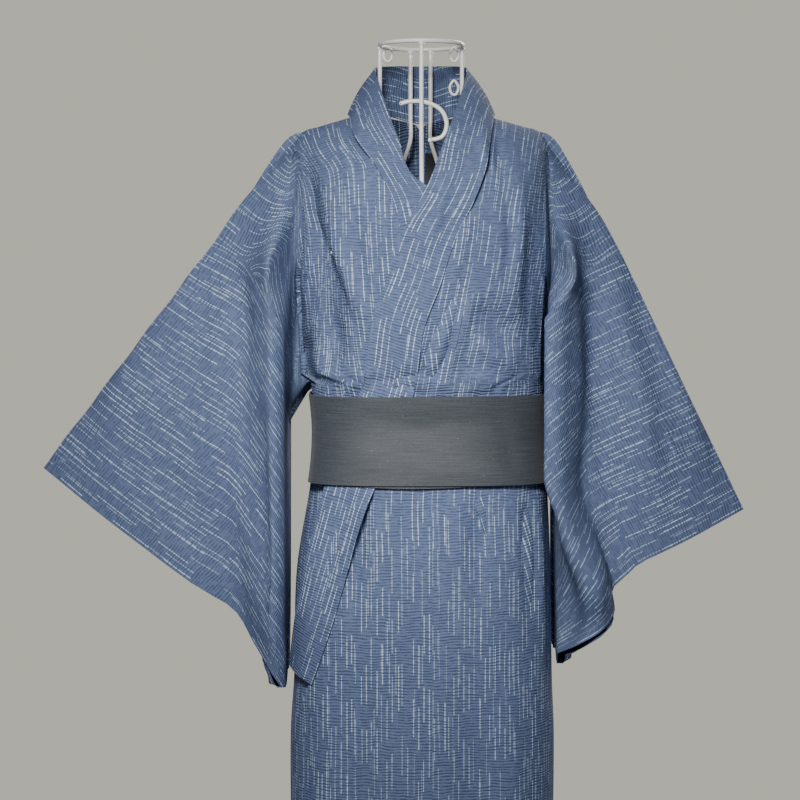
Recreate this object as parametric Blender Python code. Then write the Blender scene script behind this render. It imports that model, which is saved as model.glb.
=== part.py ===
"""A cotton yukata with its belt, worn on a white wire dress form.

Metres, +Z up. The front faces -Y and the wearer's left is +X. The origin is the middle of the foot's underside.
Each piece of cloth is a thin wall, built from a grid of points on the form's own sections.
"""

import bpy
import numpy as np
from math import asin, cos, hypot, pi, sin

for old in list(bpy.data.objects):
    bpy.data.objects.remove(old, do_unlink=True)

# ---------------------------------------------------------------- driving sizes
CLOTH = 0.0014          # wall of one layer of cloth
BAND = 0.0030           # folded collar band
BELT = 0.0020           # belt wall
SEAM = 0.0003           # gap between two pieces at a seam
OVER = 0.0054           # how far the upper front lies outside the lower one
HEM_Z = 0.090
BLOUSE_Z = 1.157        # the cloth rides over the belt here
CHEST_Z = 1.33          # above this the cloth turns over the shoulders
SHOULDER_ROUND = 0.15   # cloth, measured down the front, in that turn
ARMHOLE = 0.36          # along the sleeve seam, from the top fold
SLEEVE_DROP = 0.49      # top fold to bottom fold
SLEEVE_OUT = 0.342      # armhole to cuff
WRIST = 0.25            # open part of the cuff
CORNER_ROUND = 0.12     # the sleeve's lower outer corner is sewn round
CORNER_TURN = 0.92      # how much of a quarter circle that corner turns through
BELT_TOP = 1.134
BELT_FOOT = 1.030
CORNER = 2.8            # how square a section of the form is; 2 is an ellipse
SIDE_SEAM_Y = 0.030
WIRE = 0.0026           # wire radius
POLE = 0.012
FOOT_RADIUS = 0.19
FOOT_THICK = 0.009
FOOT_SIDES = 32
NECK_RING_Z = 1.548
NECK_RING = 0.049

# Half widths on the viewer's left and right, and depths of front and back, up the garment.
SECTION_COLUMNS = ("z", "left", "right", "front", "back")
SECTIONS = np.array([
    (0.05, 0.149, 0.149, 0.104, 0.108),
    (0.45, 0.154, 0.152, 0.110, 0.115),
    (0.70, 0.157, 0.155, 0.112, 0.118),
    (0.80, 0.152, 0.152, 0.112, 0.118),
    (0.92, 0.149, 0.150, 0.110, 0.116),
    (1.02, 0.133, 0.146, 0.101, 0.100),
    (1.08, 0.127, 0.141, 0.096, 0.090),
    (1.14, 0.131, 0.142, 0.100, 0.092),
    (1.22, 0.144, 0.145, 0.110, 0.102),
    (1.33, 0.150, 0.150, 0.112, 0.106),
    (1.47, 0.150, 0.150, 0.112, 0.106),
])

# Seams of the upper front (wearer's left): distance across from the middle, towards the wearer's left.
FRONT_COLUMNS = ("z", "collar seam", "panel seam")
UPPER_FRONT = np.array([
    (0.795, -0.127, 0.0125),
    (0.879, -0.0985, 0.0125),
    (0.947, -0.079, 0.0125),
    (1.028, -0.0527, 0.0125),
    (1.133, -0.009, 0.0275),
    (1.197, 0.000, 0.040),
    (1.2554, 0.0206, 0.0516),
    (1.314, 0.039, 0.062),
    (1.353, 0.055, 0.066),
    (1.385, 0.0705, 0.0715),
    (1.47, 0.084, 0.084),
])
# The same for the lower front (wearer's right), towards the wearer's right.
LOWER_FRONT = np.array([
    (0.795, -0.127, 0.0125),
    (0.879, -0.0985, 0.0125),
    (0.947, -0.079, 0.0125),
    (1.028, -0.0527, 0.0125),
    (1.133, -0.009, 0.0275),
    (1.197, 0.000, 0.040),
    (1.308, 0.023, 0.050),
    (1.350, 0.0263, 0.052),
    (1.403, 0.0545, 0.0555),
    (1.433, 0.0745, 0.0745),
    (1.47, 0.084, 0.084),
])
EDGE = 0.140            # free front edge of a skirt panel, across from the middle
PANEL_TIP = {"upper": 1.383, "lower": 1.400}

# A sleeve hangs as a flat oblong turned about the shoulder; it bends along upright folds.
SLEEVES = {
    "right": {"side": -1, "top": (0.2466, 1.3145), "slope": (0.607, 0.795),
              "tuck": 0.0, "tuck flat": 0.06, "swing": 0.006},
    "left": {"side": 1, "top": (0.2395, 1.3005), "slope": (0.437, 0.900),
             "tuck": -0.016, "tuck flat": 0.08, "swing": 0.050},
}
# Seen from above: distance out if flat, real distance out, front layer's y, back layer's y.
FOLD_COLUMNS = ("flat", "out", "front y", "back y")
FOLDS = {
    "right": np.array([
        (0.50, 0.495, -0.015, -0.009),
        (0.457, 0.453, -0.018, -0.004),
        (0.36, 0.357, -0.032, -0.012),
        (0.28, 0.270, -0.038, -0.004),
        (0.235, 0.217, -0.034, 0.012),
        (0.185, 0.193, -0.062, 0.030),
        (0.145, 0.176, -0.084, 0.044),
        (0.110, 0.162, -0.072, 0.056),
        (0.060, 0.160, -0.040, 0.062),
        (-0.020, 0.160, -0.008, 0.056),
        (-0.14, 0.158, 0.010, 0.046),
    ]),
    "left": np.array([
        (0.45, 0.447, -0.015, -0.009),
        (0.39, 0.388, -0.018, -0.004),
        (0.31, 0.308, -0.032, -0.010),
        (0.24, 0.235, -0.034, 0.002),
        (0.195, 0.192, -0.030, 0.018),
        (0.155, 0.180, -0.066, 0.032),
        (0.115, 0.166, -0.096, 0.046),
        (0.075, 0.158, -0.090, 0.058),
        (0.030, 0.1625, -0.046, 0.064),
        (-0.060, 0.1625, -0.010, 0.056),
        (-0.21, 0.161, 0.012, 0.046),
    ]),
}


def table(rows, column, at):
    return float(np.interp(at, rows[:, 0], rows[:, column]))


def ease(x):
    x = min(1.0, max(0.0, x))
    return x * x * (3 - 2 * x)


# ---------------------------------------------------------------- meshes
def material(name, colour, roughness, metallic=0.0):
    made = bpy.data.materials.new(name)
    made.use_nodes = True
    shader = made.node_tree.nodes["Principled BSDF"]
    shader.inputs["Base Color"].default_value = (*colour, 1)
    shader.inputs["Roughness"].default_value = roughness
    shader.inputs["Metallic"].default_value = metallic
    return made


def add(name, points, faces, look):
    mesh = bpy.data.meshes.new(name)
    mesh.from_pydata([tuple(map(float, p)) for p in points], [], faces)
    mesh.validate()
    made = bpy.data.objects.new(name, mesh)
    bpy.context.scene.collection.objects.link(made)
    mesh.materials.append(look)
    mesh.shade_smooth()
    mesh.set_sharp_from_angle(angle=0.9)
    return made


def unit(vectors):
    return vectors / np.maximum(np.linalg.norm(vectors, axis=-1, keepdims=True), 1e-12)


def normals(grid, ring=False):
    """Outward normals of a grid of points whose rows run up and whose columns run to the viewer's right."""
    if ring:
        along = np.roll(grid, -1, axis=1) - np.roll(grid, 1, axis=1)
    else:
        along = np.gradient(grid, axis=1)
    return unit(np.cross(along, np.gradient(grid, axis=0)))


def wall(name, grid, look, thick=CLOTH, ring=False, facing=None):
    """A closed wall of even thickness about a grid of points; a ring's last column meets its first."""
    facing = normals(grid, ring) if facing is None else facing
    rows, columns = grid.shape[:2]
    sides = [grid + facing * thick / 2, grid - facing * thick / 2]
    points = np.concatenate([side.reshape(-1, 3) for side in sides])
    inner = rows * columns

    def at(row, column):
        return row * columns + column % columns

    faces = []
    last = columns if ring else columns - 1
    for row in range(rows - 1):
        for column in range(last):
            a, b = at(row, column), at(row, column + 1)
            c, d = at(row + 1, column + 1), at(row + 1, column)
            faces.append((a, b, c, d))
            faces.append((inner + d, inner + c, inner + b, inner + a))
    for column in range(last):
        for row, turned in ((0, True), (rows - 1, False)):
            a, b = at(row, column), at(row, column + 1)
            rim = (a, inner + a, inner + b, b)
            faces.append(rim if turned else rim[::-1])
    if not ring:
        for row in range(rows - 1):
            for column, turned in ((0, False), (columns - 1, True)):
                a, b = at(row, column), at(row + 1, column)
                rim = (a, inner + a, inner + b, b)
                faces.append(rim if turned else rim[::-1])
    return add(name, points, faces, look)


def spline(points, count):
    """Points evenly spread by index along a smooth curve through the given ones."""
    points = np.asarray(points, float)
    padded = np.vstack([2 * points[0] - points[1], points, 2 * points[-1] - points[-2]])
    out = []
    for place in np.linspace(0, len(points) - 1, count):
        i = min(int(place), len(points) - 2)
        f = place - i
        a, b, c, d = padded[i:i + 4]
        out.append(0.5 * (2 * b + (c - a) * f + (2 * a - 5 * b + 4 * c - d) * f**2 + (3 * b - a - 3 * c + d) * f**3))
    return np.array(out)


def tube(name, points, radius, look, closed=False, sides=6):
    """A round wire along a path, its section carried along without twisting."""
    path = np.asarray(points, float)
    if closed:
        along = unit(np.roll(path, -1, axis=0) - np.roll(path, 1, axis=0))
    else:
        along = unit(np.gradient(path, axis=0))
    up = np.array((0.0, 0.0, 1.0)) if abs(along[0][2]) < 0.9 else np.array((0.0, 1.0, 0.0))
    rings = []
    for place, direction in zip(path, along):
        up = unit(up - direction * np.dot(up, direction))
        side = np.cross(direction, up)
        rings.append([place + radius * (cos(a) * up + sin(a) * side) for a in np.arange(sides) * 2 * pi / sides])
    count = len(rings)
    faces = []
    for i in range(count if closed else count - 1):
        j = (i + 1) % count
        for k in range(sides):
            m = (k + 1) % sides
            faces.append((i * sides + k, i * sides + m, j * sides + m, j * sides + k))
    if not closed:
        faces.append(tuple(reversed(range(sides))))
        faces.append(tuple((count - 1) * sides + k for k in range(sides)))
    return add(name, np.array(rings).reshape(-1, 3), faces, look)


# ---------------------------------------------------------------- the form's sections
def across(x, z, out=0.0, back=False):
    """The point of the section at height z that is x across, moved out by a layer."""
    half = table(SECTIONS, 1 if x < 0 else 2, z)
    depth = table(SECTIONS, 4 if back else 3, z) + out
    ratio = min(1.0, abs(x) / (half + out))
    y = depth * (1 - ratio**CORNER)**(1 / CORNER)
    return np.array((x, y if back else -y, z))


def round_section(turn, z, out=0.0):
    """The section's point by angle: 0 is the middle of the front, pi / 2 the wearer's left."""
    s, c = sin(turn), cos(turn)
    half = table(SECTIONS, 1 if s < 0 else 2, z) + out
    depth = (table(SECTIONS, 3, z) if c > 0 else table(SECTIONS, 4, z)) + out
    reach = (abs(s)**CORNER + abs(c)**CORNER)**(-1 / CORNER)
    return np.array((half * s * reach, -depth * c * reach, z))


def turn_of(point, out=0.0):
    """The angle at which round_section gives this point."""
    x, y, z = point
    half = table(SECTIONS, 1 if x < 0 else 2, z) + out
    depth = table(SECTIONS, 3 if y < 0 else 4, z) + out
    return np.arctan2(x / half, -y / depth)


def side_point(y, z, side, out=0.0):
    """The section's point at depth y on one side."""
    half = table(SECTIONS, 1 if side < 0 else 2, z) + out
    depth = table(SECTIONS, 3 if y < 0 else 4, z) + out
    x = half * (1 - min(1.0, abs(y) / depth)**CORNER)**(1 / CORNER)
    return np.array((side * x, y, z))


def walk(x, z, distance, out):
    """From x on the front of the section, that far round it towards -X or +X."""
    start = across(x, z, out)
    turn = turn_of(start, out)
    step = 0.01 if distance > 0 else -0.01
    here, gone = start, 0.0
    while gone < abs(distance):
        turn += step
        there = round_section(turn, z, out)
        length = hypot(*(there - here)[:2])
        share = min(1.0, (abs(distance) - gone) / length)
        gone += length
        here = here + (there - here) * share
    return here


# ---------------------------------------------------------------- sleeves
FOLDS_DENSE = {name: spline(rows, 73)[::-1] for name, rows in FOLDS.items()}
INNER_WALL = 0.1615     # the sleeve's side next to the body, out from the middle
SPREAD = 0.0080         # its back layer stands this much further out past the seam
TOP_ROUND = 0.05        # cloth from the top fold to full width
FOOT_ROUND = 0.05
LIPS = 0.0011           # half the distance between two layers sewn together
ARMHOLE_T = (0.0, 0.02, 0.04, 0.06, 0.08, 0.105, 0.13, 0.155, 0.185, 0.22, 0.26, 0.31, 0.36)
UNDER_T = (0.40, 0.44, 0.47, 0.49)
RIDGE_INDEX = 6
SLEEVE_ROWS = 12


def rounded_drop(s, t):
    """t with the cloth below the wrist drawn up to the round corner."""
    turn = CORNER_TURN * max(0.0, s - SLEEVE_OUT + CORNER_ROUND) / CORNER_ROUND
    drop = SLEEVE_DROP - CORNER_ROUND * (1 - (1 - turn**2)**0.5)
    return t if t < WRIST else WRIST + (t - WRIST) * (drop - WRIST) / (SLEEVE_DROP - WRIST)


def sleeve_point(name, s, t, back):
    """s runs from armhole to cuff, t from the top fold to the bottom fold."""
    sleeve = SLEEVES[name]
    run, fall = sleeve["slope"]
    swing = sleeve["swing"] * max(0.0, sin(pi * (t - 0.14) / 0.30)) * ease((s - 0.20) / 0.14)
    closing = sin(min(1.0, (SLEEVE_DROP - t) / FOOT_ROUND) * pi / 2)**0.7
    under_wrist = ease((t - WRIST + 0.01) / 0.04) * (1 - ease((SLEEVE_OUT - s) / 0.05))
    lip = 0.0 if t in (0.0, SLEEVE_DROP) else (LIPS if back else -LIPS)
    t = rounded_drop(s, t)
    flat = sleeve["top"][0] + run * s - fall * t
    z = sleeve["top"][1] - fall * s - run * t
    dense = FOLDS_DENSE[name]
    out, front_y, back_y = (table(dense, column, flat) for column in (1, 2, 3))
    tucked = np.exp(-((flat - sleeve["tuck flat"]) / 0.04)**2)
    if back:
        out = max(out, INNER_WALL + SPREAD * ease(s / 0.035))
    else:
        out += sleeve["tuck"] * tucked * ease((z - 0.98) / 0.06)
    back_y = front_y + (back_y - front_y) * (1 - 0.5 * s / SLEEVE_OUT)
    opened = sin(min(1.0, t / TOP_ROUND) * pi / 2)**0.8
    under_arm = ease((t - ARMHOLE + 0.07) / 0.07) * (1 - ease(s / 0.06))
    middle = front_y + (back_y - front_y) * (0.5 - 0.3 * s / SLEEVE_OUT)
    parted = closing * (1 - under_arm) * (1 - under_wrist)
    layer = back_y if back else front_y
    y = lip + middle + (layer - middle) * parted
    y = lip * (1 - opened) + y * opened
    x = flat * (1 - opened) + out * opened + swing
    return np.array((sleeve["side"] * x, y, z))


def drops_at(name, s):
    """Where the sleeve's columns lie at s, so that one of them follows the forward ridge."""
    run, fall = SLEEVES[name]["slope"]
    here = np.array(ARMHOLE_T[2:] + UNDER_T[:-2])
    ridge = ARMHOLE_T[RIDGE_INDEX]
    moved = min(ridge + run / fall * s, 0.40)
    last = here[-1]
    outer = moved * here / ridge
    inner = moved + (here - ridge) * (last - moved) / (last - ridge)
    spread = np.where(here <= ridge, outer, inner)
    return (0.0, ARMHOLE_T[1]) + tuple(float(t) for t in spread) + UNDER_T[-2:]


def sleeve_grid(name):
    """Rows run from the armhole out; columns go down the front and up the back."""
    rows = []
    for s in np.linspace(0, SLEEVE_OUT, SLEEVE_ROWS):
        drops = drops_at(name, s)
        front = [sleeve_point(name, s, t, False) for t in drops]
        back = [sleeve_point(name, s, t, True) for t in drops[1:-1][::-1]]
        rows.append(front + back)
    grid = np.array(rows)
    return grid if SLEEVES[name]["side"] > 0 else grid[:, ::-1]


# ---------------------------------------------------------------- body panels
PANEL_Z = (HEM_Z, 0.45, 0.70, 0.80, 0.92, 1.02, 1.08, 1.12, 1.146)
COLUMNS = 14
VALLEY_T = np.array([
    # down the seam, front valley y, back valley y
    (0.00, 0.000, 0.000),
    (0.04, -0.022, 0.014),
    (0.08, -0.036, 0.024),
    (0.15, -0.030, 0.034),
    (0.25, -0.008, 0.034),
    (0.33, 0.010, 0.030),
    (0.36, 0.018, 0.027),
])
RIDGE = (0.177, -0.084)
SHARES = (0.0, 0.25, 0.5, 0.72, 0.88, 1.0)
NECKLINE = np.array([(0.0, 0.084), (0.02, 0.062), (0.04, 0.034), (0.06, 0.0), (0.5, 0.0)])


def shoulder_z(x):
    return 1.486 - 0.288 * abs(x)


def level_of(t):
    """The height of the chest t down from the top fold, below the turn over the shoulder."""
    return CHEST_Z - (t - SHOULDER_ROUND) * (CHEST_Z - BLOUSE_Z) / (ARMHOLE - SHOULDER_ROUND)


def turned(x, t, side, out, back):
    """A point of the chest or back, t down from the top fold and x across."""
    if t >= SHOULDER_ROUND:
        return across(side * x, level_of(t), out, back)
    angle = (1 - t / SHOULDER_ROUND) * pi / 2
    level = across(side * min(x, 0.1497), CHEST_Z, out, back)
    z = CHEST_Z + (shoulder_z(x) + out - CHEST_Z) * sin(angle)
    return np.array((side * x, level[1] * cos(angle), z))


def front_above(x, z, out):
    """The front at a height above the chest, where it starts to turn over the shoulder."""
    angle = asin((z - CHEST_Z) / (shoulder_z(x) + out - CHEST_Z))
    level = across(x, CHEST_Z, out)
    return np.array((x, level[1] * cos(angle), z))


def front_edge(front, t, column_of):
    """How far across a front's inner edge lies, t down from the top fold."""
    x = 0.08
    for _ in range(4):
        z = turned(x, t, 1, 0, False)[2]
        x = max(table(front, column, z) for column in column_of)
    return x


def layer_out(upper, z, y=-1.0):
    """The upper front lies outside the lower one, and comes in to the form at its side and shoulder."""
    return OVER * ease((1.40 - z) / 0.085) * ease((0.022 - y) / 0.05) if upper else 0.0


def spread_x(inner, outer, z):
    """Distances across that are even round the section, from one edge to the other."""
    turns = [turn_of(across(x, z)) for x in (inner, outer)]
    return [abs(round_section(turns[0] + (turns[1] - turns[0]) * share, z)[0]) for share in SHARES]


def shoulder_controls(name, front, t, back, upper):
    side = SLEEVES[name]["side"]
    inner = table(NECKLINE, 1, t) if back else front_edge(front, t, (1, 2))
    settled = ease(t / 0.1)
    outer = 0.162 - 0.0145 * settled
    z = level_of(max(t, SHOULDER_ROUND))
    even = spread_x(inner, 0.1475, z)
    row = []
    for share, round_x in zip(SHARES, even):
        x = (inner + (outer - inner) * share) * (1 - settled) + round_x * settled
        plain = turned(x, t, side, 0, back)
        row.append(turned(x, t, side, 0 if back else layer_out(upper, plain[2], plain[1]), back))
    end = sleeve_point(name, 0, t, back)
    straight = [row[-1] + (end - row[-1]) * share for share in (0.33, 0.67)]
    deep = np.array((side * 0.154, table(VALLEY_T, 2 if back else 1, t), 0.5 * (row[-1][2] + end[2])))
    folded = ease((t - 0.005) / 0.07)
    valley = straight[0] * (1 - folded) + deep * folded
    between = 0.5 * (valley + end)
    if not back:
        forward = np.array((side * RIDGE[0], RIDGE[1], 0.35 * valley[2] + 0.65 * end[2]))
        amount = ease(t / 0.08) * (1 - ease((t - 0.10) / 0.05))
        between = between * (1 - amount) + forward * amount
    between = straight[1] * (1 - folded) + between * folded
    return row + [valley, between, end]


def skirt_row(name, front, z, back, upper):
    """Below the armhole a row follows the form's section to the side seam."""
    side = SLEEVES[name]["side"]
    start = across(0.0 if back else side * table(front, 2, z), z, 0, back)
    end = side_point(SIDE_SEAM_Y, z, side)
    turns = [pi if back else abs(turn_of(start)), abs(turn_of(end))]
    row = []
    for turn in np.linspace(turns[0], turns[1], COLUMNS):
        flat = round_section(side * turn, z)
        out = layer_out(upper and not back, z, flat[1])
        row.append(round_section(side * turn, z, out))
    row[0][0] = start[0]
    return row


def panel_grid(name, front, back, upper):
    """Rows from the hem to the top fold; columns from the inner edge to the side."""
    rows = [skirt_row(name, front, z, back, upper) for z in PANEL_Z]
    rows += [spline(shoulder_controls(name, front, t, back, upper), COLUMNS) for t in ARMHOLE_T[::-1]]
    return np.array(rows)


def square_step(edge, inner):
    """Unit steps off an edge line, square to it, towards the next line in."""
    along = unit(np.gradient(edge, axis=0))
    step = inner - edge
    return unit(step - along * (step * along).sum(axis=1, keepdims=True))


def pull_in(grid, column, neighbour, amount):
    grid[:, column] = grid[:, column] + square_step(grid[:, column], grid[:, neighbour]) * amount


def body_panel(name, front, upper):
    """One strip from the front hem over the shoulder to the back hem."""
    side = SLEEVES[name]["side"]
    front_grid = panel_grid(name, front, False, upper)
    back_grid = panel_grid(name, front, True, upper)
    grid = np.concatenate([front_grid, back_grid[::-1][1:]])
    grid = grid if side > 0 else grid[:, ::-1]
    facing = normals(grid)
    inner, outer = (0, COLUMNS - 1) if side > 0 else (COLUMNS - 1, 0)
    next_in, next_out = (1, COLUMNS - 2) if side > 0 else (COLUMNS - 2, 1)
    # The two edges of the side seam share their normals, so that the walls meet in a mitre.
    for row in range(len(PANEL_Z) + 1):
        shared = unit(facing[row, outer] + facing[-1 - row, outer])
        facing[row, outer] = shared
        facing[-1 - row, outer] = shared
    pull_in(grid, outer, next_out, SEAM * 1.6)
    pull_in(grid, inner, next_in, SEAM * 0.6)
    return grid, facing


# ---------------------------------------------------------------- overlaps and collar
BAND_Z = (0.797, 0.86, 0.92, 0.97, 1.02, 1.08, 1.14, 1.21, 1.26, 1.295)
COLLAR_T = (0.155, 0.13)
OVERLAP_Z = (HEM_Z, 0.45, 0.70, 0.782) + BAND_Z


def overlap_panel(node, name, front, upper, tip_z, look):
    """The strip sewn to a front's edge: from its seam to the free edge, or to the collar above its end."""
    side = SLEEVES[name]["side"]
    rows = []
    for z in OVERLAP_Z + (level_of(COLLAR_T[0]), tip_z - 0.022, tip_z - 0.004):
        seam = table(front, 2, z) - 2 * SEAM
        edge = table(front, 1, z) + 2 * SEAM if z > 0.79 else -EDGE
        out = layer_out(upper, z)
        if z > CHEST_Z:
            rows.append([front_above(side * x, z, out) for x in np.linspace(seam, edge, 8)])
            continue
        ends = [turn_of(across(side * x, z, out), out) for x in (seam, edge)]
        rows.append([round_section(turn, z, out) for turn in np.linspace(*ends, 8)])
    grid = np.array(rows)
    return wall(node, grid[:, ::-1] if side > 0 else grid, look)


BAND_WIDE = 0.058
BAND_SHARES = (0.0, 0.25, 0.5, 0.75, 1.0)
UPPER_BAND = 0.0076     # middle of the upper band outside the lower front
LOWER_BAND = 0.0012
OVERLAY = 0.004         # how far the collar's foot laps the panels round the neck
LAP = 0.0025            # the same down the fronts
RAISED = 0.0029         # the lower band rises this much where it laps its front
ON_TOP = 0.0028
RIM_T = (
    # down from the shoulder's top, rim x, rim y, rim z
    (0.105, 0.0120, -0.1150, 1.390),
    (0.080, 0.0265, -0.1040, 1.430),
    (0.060, 0.0350, -0.0900, 1.452),
    (0.040, 0.0430, -0.0700, 1.476),
    (0.020, 0.0505, -0.0420, 1.500),
    (0.000, 0.0545, -0.0080, 1.517),
)
RIM_BACK = (
    # down from the shoulder's top at the back, rim x, rim y, rim z
    (0.020, 0.0500, 0.0220, 1.524),
    (0.040, 0.0320, 0.0480, 1.528),
    (0.060, 0.0000, 0.0600, 1.529),
)


def collar_side(name, front, out, upper):
    """Rows across the band, from seam to rim, from the lower end to the middle of the back."""
    side = SLEEVES[name]["side"]
    rows = []
    starts = [(z, table(front, 1, z)) for z in BAND_Z]
    for t in COLLAR_T:
        x = front_edge(front, t, (1,))
        starts.append((turned(x, t, side, out, False)[2], x))
    for z, x in starts:
        raised = ease((z - 1.305) / 0.05)
        level_out = out if upper else out + RAISED * raised
        band_start = 0.0015 * (1 - raised) - LAP * raised
        row = []
        for share in BAND_SHARES:
            gone = band_start + (BAND_WIDE + 0.0015 - band_start) * share
            if z > CHEST_Z:
                row.append(front_above(side * (x - gone), z, level_out))
                continue
            row.append(walk(side * x, z + 0.016 * share * (1 - ease((z - 1.30) / 0.06)), -side * gone, level_out))
        rows.append(row)
    necks = [(t, x, y, z, False) for t, x, y, z in RIM_T] + [(t, x, y, z, True) for t, x, y, z in RIM_BACK]
    for t, x, y, z, back in necks:
        lift = 1.0 if back else ease((0.12 - t) / 0.10)
        edge = table(NECKLINE, 1, t) if back else front_edge(front, t, (1,))
        low = out if upper else out + RAISED
        seam = turned(edge + LAP + (OVERLAY - LAP) * lift, t, side, low * (1 - lift) + ON_TOP * lift, back)
        rim = np.array((side * x, y + (0 if upper else 0.004) * (1 - lift), z))
        seam = seam + unit(rim - seam) * 0.0015
        rows.append([seam + (rim - seam) * share for share in BAND_SHARES])
    return rows


def collar_grid():
    upper = collar_side("left", UPPER_FRONT, UPPER_BAND, True)
    lower = collar_side("right", LOWER_FRONT, LOWER_BAND, False)
    return np.array(upper + lower[::-1][1:])


# ---------------------------------------------------------------- belt
BELT_FRONT = 0.0117     # middle of the belt outside the lower front, over the collar
BELT_BACK = 0.0026
BELT_ROWS = (BELT_FOOT, 1.08, BELT_TOP)
BELT_LEAVES_Y = {1: 0.035, -1: -0.020}      # forward of this the belt starts to clear the layers in front


def belt_out(turn, z):
    y = round_section(turn, z)[1]
    leaves = BELT_LEAVES_Y[1 if turn > 0 else -1]
    return BELT_BACK + (BELT_FRONT - BELT_BACK) * ease((leaves - y) / 0.05)


def belt(node, look):
    turns = np.linspace(-pi, pi, 45)[:-1]
    rows = [[round_section(turn, z, belt_out(turn, z)) for turn in turns] for z in BELT_ROWS]
    return wall(node, np.array(rows), look, BELT, ring=True)


KNOT_THICK = 0.010
TAIL_THICK = 0.004
# Corners across and up, as seen from the front: foot from -X to +X, then top from -X to +X.
KNOT = ((-0.047, 1.022), (0.045, 1.034), (-0.043, 1.138), (0.049, 1.146))
TAILS = {
    "obi_tail_left": ((0.0520, 1.060), (0.112, 1.094), (0.0540, 1.122), (0.092, 1.150)),
    "obi_tail_right": ((-0.102, 1.100), (-0.0520, 1.056), (-0.082, 1.154), (-0.0500, 1.116)),
}


def back_slab(node, corners, thick, gap, look):
    """A folded piece that lies on the back of the belt."""
    out = BELT_BACK + BELT / 2 + gap + thick / 2
    foot_a, foot_b, top_a, top_b = np.array(corners)
    rows = []
    for up in (0.0, 0.5, 1.0):
        a, b = foot_a + (top_a - foot_a) * up, foot_b + (top_b - foot_b) * up
        points = [a + (b - a) * share for share in np.linspace(0, 1, 6)]
        rows.append([across(x, min(max(z, BELT_FOOT), BELT_TOP), out, True)[:2].tolist() + [z] for x, z in points])
    return wall(node, np.array(rows)[:, ::-1], look, thick)


# ---------------------------------------------------------------- label
def label(node, look):
    """A bare cloth label on the inside of the back, under the collar."""
    rows = [[turned(x, t, 1, -0.0024, True) for x in (0.006, 0.018, 0.030)] for t in (0.125, 0.105, 0.085)]
    return wall(node, np.array(rows)[:, ::-1], look, 0.001)


# ---------------------------------------------------------------- wire form
def ring_at(name, z, inside, look, count=28):
    turns = np.linspace(-pi, pi, count, endpoint=False)
    return tube(name, [round_section(turn, z, -inside) for turn in turns], WIRE, look, closed=True)


def circle(name, centre, radius, wire, look, count=20, tilt=None):
    u, v = tilt or ((1, 0, 0), (0, 1, 0))
    u, v = np.array(u, float), np.array(v, float)
    points = [np.array(centre) + radius * (cos(a) * u + sin(a) * v) for a in np.arange(count) * 2 * pi / count]
    return tube(name, points, wire, look, closed=True)


RING_IN = 0.0045        # middle of a ring inside the cloth's middle
UPRIGHT_IN = RING_IN + 2 * WIRE
RINGS = {"chest_ring": 1.30, "waist_ring": 1.08, "hip_ring": 0.88}
UPRIGHT_FOOT = 0.860
NECK_FOOT = NECK_RING_Z - WIRE - 0.0002


def upright(name, turn, look):
    """A wire up the inside of the rings, bent in at the shoulder to the foot of the neck."""
    heights = (UPRIGHT_FOOT, 0.95, 1.02, 1.08, 1.14, 1.22, 1.30, 1.345)
    points = [round_section(turn, z, -UPRIGHT_IN) for z in heights]
    neck = np.array((NECK_RING * sin(turn), -NECK_RING * cos(turn), 1.44))
    level = points[-1]
    points.append(level * 0.72 + neck * 0.28 + np.array((0, 0, 0.012)))
    points.append(level * 0.32 + neck * 0.68 + np.array((0, 0, 0.006)))
    points += [neck, neck + (0, 0, 0.03), neck + (0, 0, NECK_FOOT - 1.44)]
    return tube(name, spline(points, 17), WIRE, look)


def bar(name, foot_z, top_z, radius, look, sides=12):
    return tube(name, [(0, 0, foot_z), (0, 0, top_z)], radius, look, sides=sides)


def spoke(name, turn, look):
    """From the hub to the foot of an upright."""
    end = round_section(turn, SPOKE_Z, -UPRIGHT_IN)
    end[2] = SPOKE_Z
    out = unit(end * (1, 1, 0))
    start = out * (HUB_RADIUS + SEAM)
    start[2] = SPOKE_Z
    return tube(name, [start, end - out * (WIRE + SEAM)], WIRE, look)


def shoulder_wire(name, side, look):
    """Under the shoulder's top fold, from the neck out and down to the upright at the side."""
    points = [(x, 0, shoulder_z(x) - 0.0046) for x in (0.0548, 0.085, 0.115, 0.138)]
    points += [(0.147, 0, 1.425), (0.1475, 0, 1.385), (0.1462, 0, 1.342)]
    return tube(name, spline([(side * x, y, z) for x, y, z in points], 11), WIRE, look)


def foot(name, look):
    rim = [(FOOT_RADIUS * cos(a), FOOT_RADIUS * sin(a)) for a in np.arange(FOOT_SIDES) * 2 * pi / FOOT_SIDES]
    points = [(x, y, z) for z in (0.0, FOOT_THICK) for x, y in rim]
    count = len(rim)
    faces = [tuple(range(count))[::-1], tuple(range(count, 2 * count))]
    faces += [(i, (i + 1) % count, count + (i + 1) % count, count + i) for i in range(count)]
    return add(name, points, faces, look)


UPRIGHTS = {"front_wire": 0.0, "left_wire": pi / 2, "back_wire_left": pi - 0.25, "back_wire_right": pi + 0.25,
            "right_wire": -pi / 2}
HUB_RADIUS = 0.022
HUB_Z = (0.858, 0.878)
SPOKE_Z = 0.868
SCROLL = ((-0.026, 1.4745), (-0.013, 1.4775), (0.005, 1.4765), (0.0225, 1.468), (0.0297, 1.452), (0.025, 1.437),
          (0.0107, 1.432))
LEAF_WIRE = 0.0016
LEAF = (0.0050, 0.0085)
LEAVES = (("leaf_right", -1, 1.537), ("leaf_left_upper", 1, 1.537), ("leaf_left_lower", 1, 1.4976))

# ---------------------------------------------------------------- looks
COTTON = material("slate_cotton", (0.19, 0.26, 0.38), 0.85)
BELT_CLOTH = material("charcoal_cotton", (0.055, 0.065, 0.075), 0.8)
LABEL = material("black_label", (0.01, 0.01, 0.012), 0.7)
PAINT = material("white_paint", (0.85, 0.85, 0.83), 0.35)


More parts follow.
